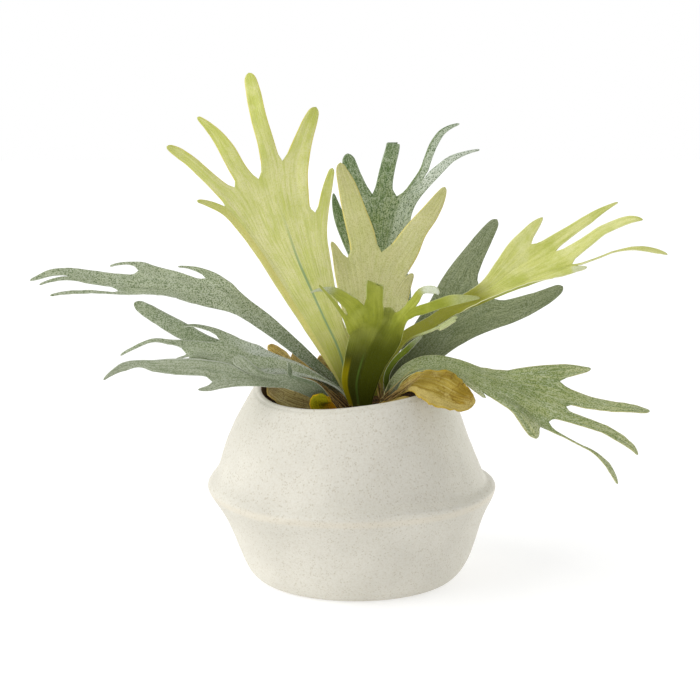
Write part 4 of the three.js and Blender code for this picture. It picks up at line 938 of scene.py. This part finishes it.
def rise_of(z, turns):
    """How far the belt and the rim rise from level, at a height and round the pot."""
    crest = BELT_WAVE.crest * hill(turn_between(turns, BELT_WAVE.crest_at) / BELT_WAVE.crest_width)
    dip = BELT_WAVE.dip * hill(turn_between(turns, BELT_WAVE.dip_at) / BELT_WAVE.dip_width)
    rim = (RIM_WAVE.level + RIM_WAVE.right * np.cos(turns) + RIM_WAVE.back * np.sin(turns)
           + RIM_WAVE.corners * np.sin(2 * turns))
    up = np.clip((z - RIM_WAVE.start) / RIM_WAVE.span, 0, 1)
    belt = (BELT_WAVE.level + crest - dip) * hill((z - POT.belt_z) / BELT_WAVE.reach)
    return np.where(z < POT.floor, 0, belt + rim * up)


def once_round(count):
    """Angles once round, evenly spaced."""
    return np.linspace(0, 2 * math.pi, count, endpoint=False)


def pot_points(profile, turns):
    """Grid of points: each profile row (radius, z) swept round with the lip, the lean and the waves."""
    radius, z = (column[:, None] for column in np.array(profile, float).T)
    up = (z - POT.belt_z) / (POT.rim_z - POT.belt_z)
    fade = np.where(up > 0, LIP.above - LIP.skew * np.cos(turns), LIP.below)
    lip = LIP.out * hill((z - POT.belt_z) / fade)
    below = LEAN.below * np.sin(math.pi * (POT.belt_z - z) / LEAN.span)
    lean = np.where(up > 0, LEAN.above * np.sin(math.pi * up), below)
    shaped = radius > CAP_RADIUS
    r = radius + (lip + lean * np.cos(turns) + OVAL * np.sin(2 * turns) * np.clip(up, 0, 1)) * shaped
    return np.stack([r * np.cos(turns), r * np.sin(turns), z + rise_of(z, turns) * shaped], -1)


def ring_quads(rows, turns, first=0):
    """Numbers of the points of a closed sweep, row by row, and the quads between its rows."""
    numbers = first + np.arange(rows * turns).reshape(rows, turns)
    ahead = np.roll(numbers, -1, axis=1)
    return numbers, np.stack([numbers[:-1], ahead[:-1], ahead[1:], numbers[1:]], -1).reshape(-1, 4)


def swept(name, grid, material):
    """Piece of a closed sweep: rows of points round the axis, quads between them, and two end caps."""
    rows, turns = grid.shape[:2]
    numbers, quads = ring_quads(rows, turns)
    ahead = np.roll(numbers, -1, axis=1)
    caps = np.vstack([np.stack([ahead[0], numbers[0], np.full(turns, rows * turns)], 1),
                      np.stack([numbers[-1], ahead[-1], np.full(turns, rows * turns + 1)], 1)])
    points = np.vstack([grid.reshape(-1, 3), grid[0].mean(0), grid[-1].mean(0)])
    return put_mesh(name, points, quads.tolist() + caps.tolist(), material)


def stoneware():
    """Matt off-white clay: sandy grain, faint cream along the belt, many fine pinholes, and a dark brown
    inside that is soil stain and painted shade.
    """
    g = Graph("stoneware", roughness=0.72, specular=0.25)
    spot = g.place()
    height = g.node("SeparateXYZ", "Z", {"Vector": spot})
    g.colour = g.mix(g.ramp(g.noise(spot, 22, 3), 0.35, 0.7), (213, 210, 199), (206, 203, 192))
    g.coat(g.ramp(g.noise(spot, 700, 2), 0.4, 0.66, 0, 0.26), (188, 180, 160))
    belt = g.math("ABSOLUTE", g.math("SUBTRACT", height, POT.belt_z * MM))
    g.coat(g.ramp(belt, 0.001, 0.004, 0.25, 0), (224, 212, 188))
    holes = g.ramp(g.cells(spot, 520), 0.2, 0.34, 1, 0)
    pinholes = g.times(holes, g.ramp(g.noise(spot, 200, 2), 0.38, 0.52))
    g.coat(g.times(pinholes, 0.36), (164, 152, 124))
    # soil stain and painted shade: dark brown over the inner wall and floor, from just inside the lip
    g.coat(g.ramp(g.value("inside"), 0.4, 0.6, 0, 0.95), (104, 78, 36))
    normal = g.bump(g.noise(spot, 500, 3), 0.2, 0.35)
    return g.finish(g.bump(g.math("SUBTRACT", 1.0, pinholes), 0.3, 0.5, normal))


def put_pot():
    """Finer pot: its sweep with hand-made unevenness up to 0.4 mm, rounded lip and inner wall.
    The profile runs from the middle of the base up the outside, over the lip and down to the floor."""
    turns = once_round(TURNS.pot)
    half = POT.wall / 2
    heights = np.concatenate([np.linspace(0, 1, 10) ** 2 * 12, np.linspace(13.5, POT.rim_z - half, 96)])
    outside = [(outside_radius(z), z) for z in heights]
    lip = [(POT.rim + (math.cos(a) - 1) * half, POT.rim_z + (math.sin(a) - 1) * half)
           for a in np.linspace(0, math.pi, 13)[1:]]
    inner = [(outside_radius(z) - POT.wall, z) for z in np.linspace(140, INNER_FOOT, 40)]
    floor = [(76, POT.floor + 3), (64, POT.floor), (CAP_RADIUS, POT.floor)]
    base = [(CAP_RADIUS, 0), (40, 0)]
    profile = [*base, *outside, *lip, *inner, *floor]
    grid = pot_points(profile, turns)
    uneven = unevenness(grid.reshape(-1, 3), 3, *CLAY_RIPPLES).reshape(grid.shape[:2])
    outward = unit(grid * np.array([1, 1, 0]))
    above_base = grid[..., 2:] > 3
    pot = swept("fine_pot", grid + outward * uneven[..., None] * above_base, stoneware())
    # the dark brown inside is soil stain and painted shade
    crest = len(base) + len(outside) + len(lip) - 4  # the brown starts just inside the lip
    inside = np.repeat(np.arange(len(profile)) >= crest, len(turns))
    put_value(pot, "inside", np.concatenate([inside, [False, True]]))
    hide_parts("pot")


def earth():
    """Dark potting soil with brown bits."""
    g = Graph("earth", roughness=0.95, specular=0.1)
    spot = g.place()
    g.colour = g.mix(g.ramp(g.noise(spot, 160, 4), 0.35, 0.7), (30, 22, 14), (74, 52, 32))
    g.coat(g.ramp(g.cells(spot, 420), 0.2, 0.45, 0.6, 0), (104, 74, 44))
    return g.finish(g.bump(g.noise(spot, 300, 4), 1.2, 0.9))


def put_soil():
    """Crumbly soil: the filling inside the pot, its top raised and lowered by ripples of three sizes."""
    side = [(outside_radius(z) - POT.wall - SOIL_GAP, z) for z in np.linspace(INNER_FOOT, SOIL_Z, 30)]
    rim_radius = side[-1][0]
    top = [(rim_radius * k, SOIL_Z + 1.5 * (1 - k)) for k in np.linspace(0.985, 0.03, 46)]
    bottom = [(CAP_RADIUS, POT.floor + 0.4), (62, POT.floor + 0.4)]
    profile = [*bottom, *side, *top]
    grid = pot_points(profile, once_round(TURNS.soil))
    crumbs = unevenness(grid.reshape(-1, 3), 11, *SOIL_CRUMBS)
    on_top = np.arange(len(profile)) >= len(bottom) + len(side) + 1
    grid[..., 2] += crumbs.reshape(grid.shape[:2]) * on_top[:, None]
    soil = swept("fine_soil", grid, earth())
    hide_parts("soil")


def fibre():
    """Fibrous crown: dark brown and mossy, with a grain."""
    g = Graph("fibre", roughness=0.9, specular=0.08)
    long_grain = g.place((1, 1, 0.25))
    g.colour = g.mix(g.ramp(g.noise(long_grain, 420, 3), 0.35, 0.7), (40, 30, 16), (98, 72, 42))
    g.coat(g.ramp(g.noise(g.place(), 60, 2), 0.45, 0.7, 0, 0.7), (44, 46, 18))
    return g.finish(g.bump(g.noise(long_grain, 500, 3), 0.8, 0.8))


def hair():
    """Old hair: each one its own shade between dark reddish brown and tan."""
    g = Graph("hair", roughness=0.8, specular=0.1)
    g.colour = g.mix(g.value("shade"), (58, 36, 20), (204, 172, 108))
    return g.finish()


def mound_z(k):
    """Height of the crown, a parabola, at a share k of its radius."""
    return CROWN.base + (CROWN.top - CROWN.base) * (1 - k * k)


def put_crown():
    """Crown: the mound of the CAD over the soil, with a lumpy surface."""
    turns = once_round(TURNS.crown)
    mound = [(CROWN.radius * k, mound_z(k)) for k in np.linspace(1, 0.02, 40)]
    profile = np.array([(1, CROWN.bottom), (CROWN.radius, CROWN.bottom), *mound])
    radius, z = profile[:, :1], profile[:, 1:]
    grid = np.stack([CROWN.x + radius * np.cos(turns), CROWN.y + radius * np.sin(turns),
                     z + 0 * turns], -1)
    lumps = unevenness(grid.reshape(-1, 3), 21, *CROWN_LUMPS).reshape(grid.shape[:2])
    grid[..., 2] += lumps * (np.arange(len(profile)) >= 2)[:, None]
    crown = swept("fine_crown", grid, fibre())
    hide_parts("crown")


def tubes(paths):
    """Points and faces of hairs: thin closed tubes along paths, each tapering from its foot to its end."""
    points, faces = [], []
    count = 0
    around = once_round(HAIR_SIDES)[None, :, None]
    for path in paths:
        tangent = unit(np.gradient(path, axis=0))
        first = unit(np.cross(tangent, [0.31, 0.2, 0.93]))
        second = np.cross(tangent, first)
        taper = HAIR_RADIUS * (1 - 0.75 * np.linspace(0, 1, len(path)) ** 2)[:, None, None]
        ring = first[:, None] * np.cos(around) + second[:, None] * np.sin(around)
        points.append((path[:, None] + ring * taper).reshape(-1, 3))
        numbers, quads = ring_quads(len(path), HAIR_SIDES, count)
        faces.extend([quads, np.stack([numbers[0, ::-1], numbers[-1]])])
        count += numbers.size
    return np.vstack(points), np.vstack(faces)


def put_fibres():
    """Wiry roots and old hairs. Each is a seeded arc that droops at its end: short ones all over the
    crown, and long ones along the stalks at the front, where they lie in loose bundles."""
    rng = np.random.default_rng(31)
    paths = []
    s = np.linspace(0, 1, 9)[:, None]
    for _ in range(HAIRS):
        turn, out = rng.uniform(0, 2 * math.pi), rng.uniform(*SHORT_HAIR.out)
        k = out * CROWN.radius
        foot = np.array([CROWN.x + k * math.cos(turn), CROWN.y + k * math.sin(turn), mound_z(out) - 2])
        outward = np.array([math.cos(turn), math.sin(turn), 0])
        lean = unit(outward * out + rng.normal(0, SHORT_HAIR.stray, 3))
        way = unit(lean * 0.8 + np.array([0, 0, rng.uniform(*SHORT_HAIR.rise)]))
        reach = rng.uniform(*SHORT_HAIR.reach)
        sag = np.array([0, 0, -rng.uniform(*SHORT_HAIR.sag) * reach])
        curl = rng.normal(0, SHORT_HAIR.curl, 3) * reach
        paths.append(foot + way * reach * s + sag * s**2 + curl * s * (1 - s))
    for start, end, count in BUNDLES:
        a, b = placed((*start, 1, 0))[:3], placed((*end, 1, 0))[:3]
        for _ in range(count):
            spread = rng.normal(0, 1, 3) * np.array(LONG_HAIR.spread)
            curl = rng.normal(0, 1, 3) * LONG_HAIR.curl
            share = rng.uniform(*LONG_HAIR.share)
            way = (b - a + rng.normal(0, LONG_HAIR.stray, 3)) * share
            paths.append(a + spread + way * s + curl * s * (1 - s))
    points, faces = tubes(paths)
    piece = put_mesh("crown_fibres", points, faces.tolist(), hair())
    put_value(piece, "shade", np.repeat(rng.uniform(0, 1, len(paths)) ** 1.4, len(points) // len(paths)))


def put_camera():
    """Camera of the photograph: its height, tilt and field of view."""
    camera = linked("camera", bpy.data.cameras.new("camera"))
    camera.data.sensor_width = SENSOR
    camera.data.lens = SENSOR * FOCAL / (2 * MIDDLE)
    camera.location = VIEW * MM
    camera.rotation_euler = (math.pi / 2 - TILT, 0, 0)
    bpy.context.scene.camera = camera


def put_lamp(name, way, strength, width):
    """Broad distant lamp that shines along a direction; width is its spread in degrees."""
    lamp = linked(name, bpy.data.lights.new(name, "SUN"))
    lamp.data.energy = strength
    lamp.data.angle = math.radians(width)
    x, y, z = way
    lamp.rotation_euler = (math.atan2(math.hypot(x, y), -z), 0, math.atan2(y, x) - math.pi / 2)


def put_studio():
    """Pale floor, white surroundings, a soft key from the upper left and a light on the right edge.
    The surroundings are pure white to the camera and light the object a little less."""
    g = Graph("floor", roughness=0.9, specular=0.0)
    g.shader.inputs["Emission Color"].default_value = (1, 1, 1, 1)
    g.shader.inputs["Emission Strength"].default_value = FLOOR_GLOW
    g.colour = (205, 205, 205)
    corners = np.array([(-1, -1, 0), (1, -1, 0), (1, 1, 0), (-1, 1, 0)]) * FLOOR_REACH + [0, 0, FLOOR_Z]
    floor = new_mesh("floor", corners, [(0, 1, 2, 3)], g.finish())
    world = bpy.data.worlds.new("studio")
    world.use_nodes = True
    tree = world.node_tree
    strength = tree.nodes.new("ShaderNodeMapRange")
    strength.inputs["To Min"].default_value = SURROUNDINGS
    tree.links.new(tree.nodes.new("ShaderNodeLightPath").outputs["Is Camera Ray"], strength.inputs["Value"])
    tree.nodes["Background"].inputs["Color"].default_value = (1, 1, 1, 1)
    tree.links.new(strength.outputs["Result"], tree.nodes["Background"].inputs["Strength"])
    bpy.context.scene.world = world
    for name, (way, power, width) in LAMPS.items():
        put_lamp(name, way, power, width)
    bpy.context.scene.view_settings.view_transform = "Standard"


put_camera()
put_studio()
put_pot()
put_soil()
put_crown()
put_fibres()
for number, (name, frond) in enumerate(FRONDS.items()):
    put_frond(name, frond, seed=100 + 10 * number)
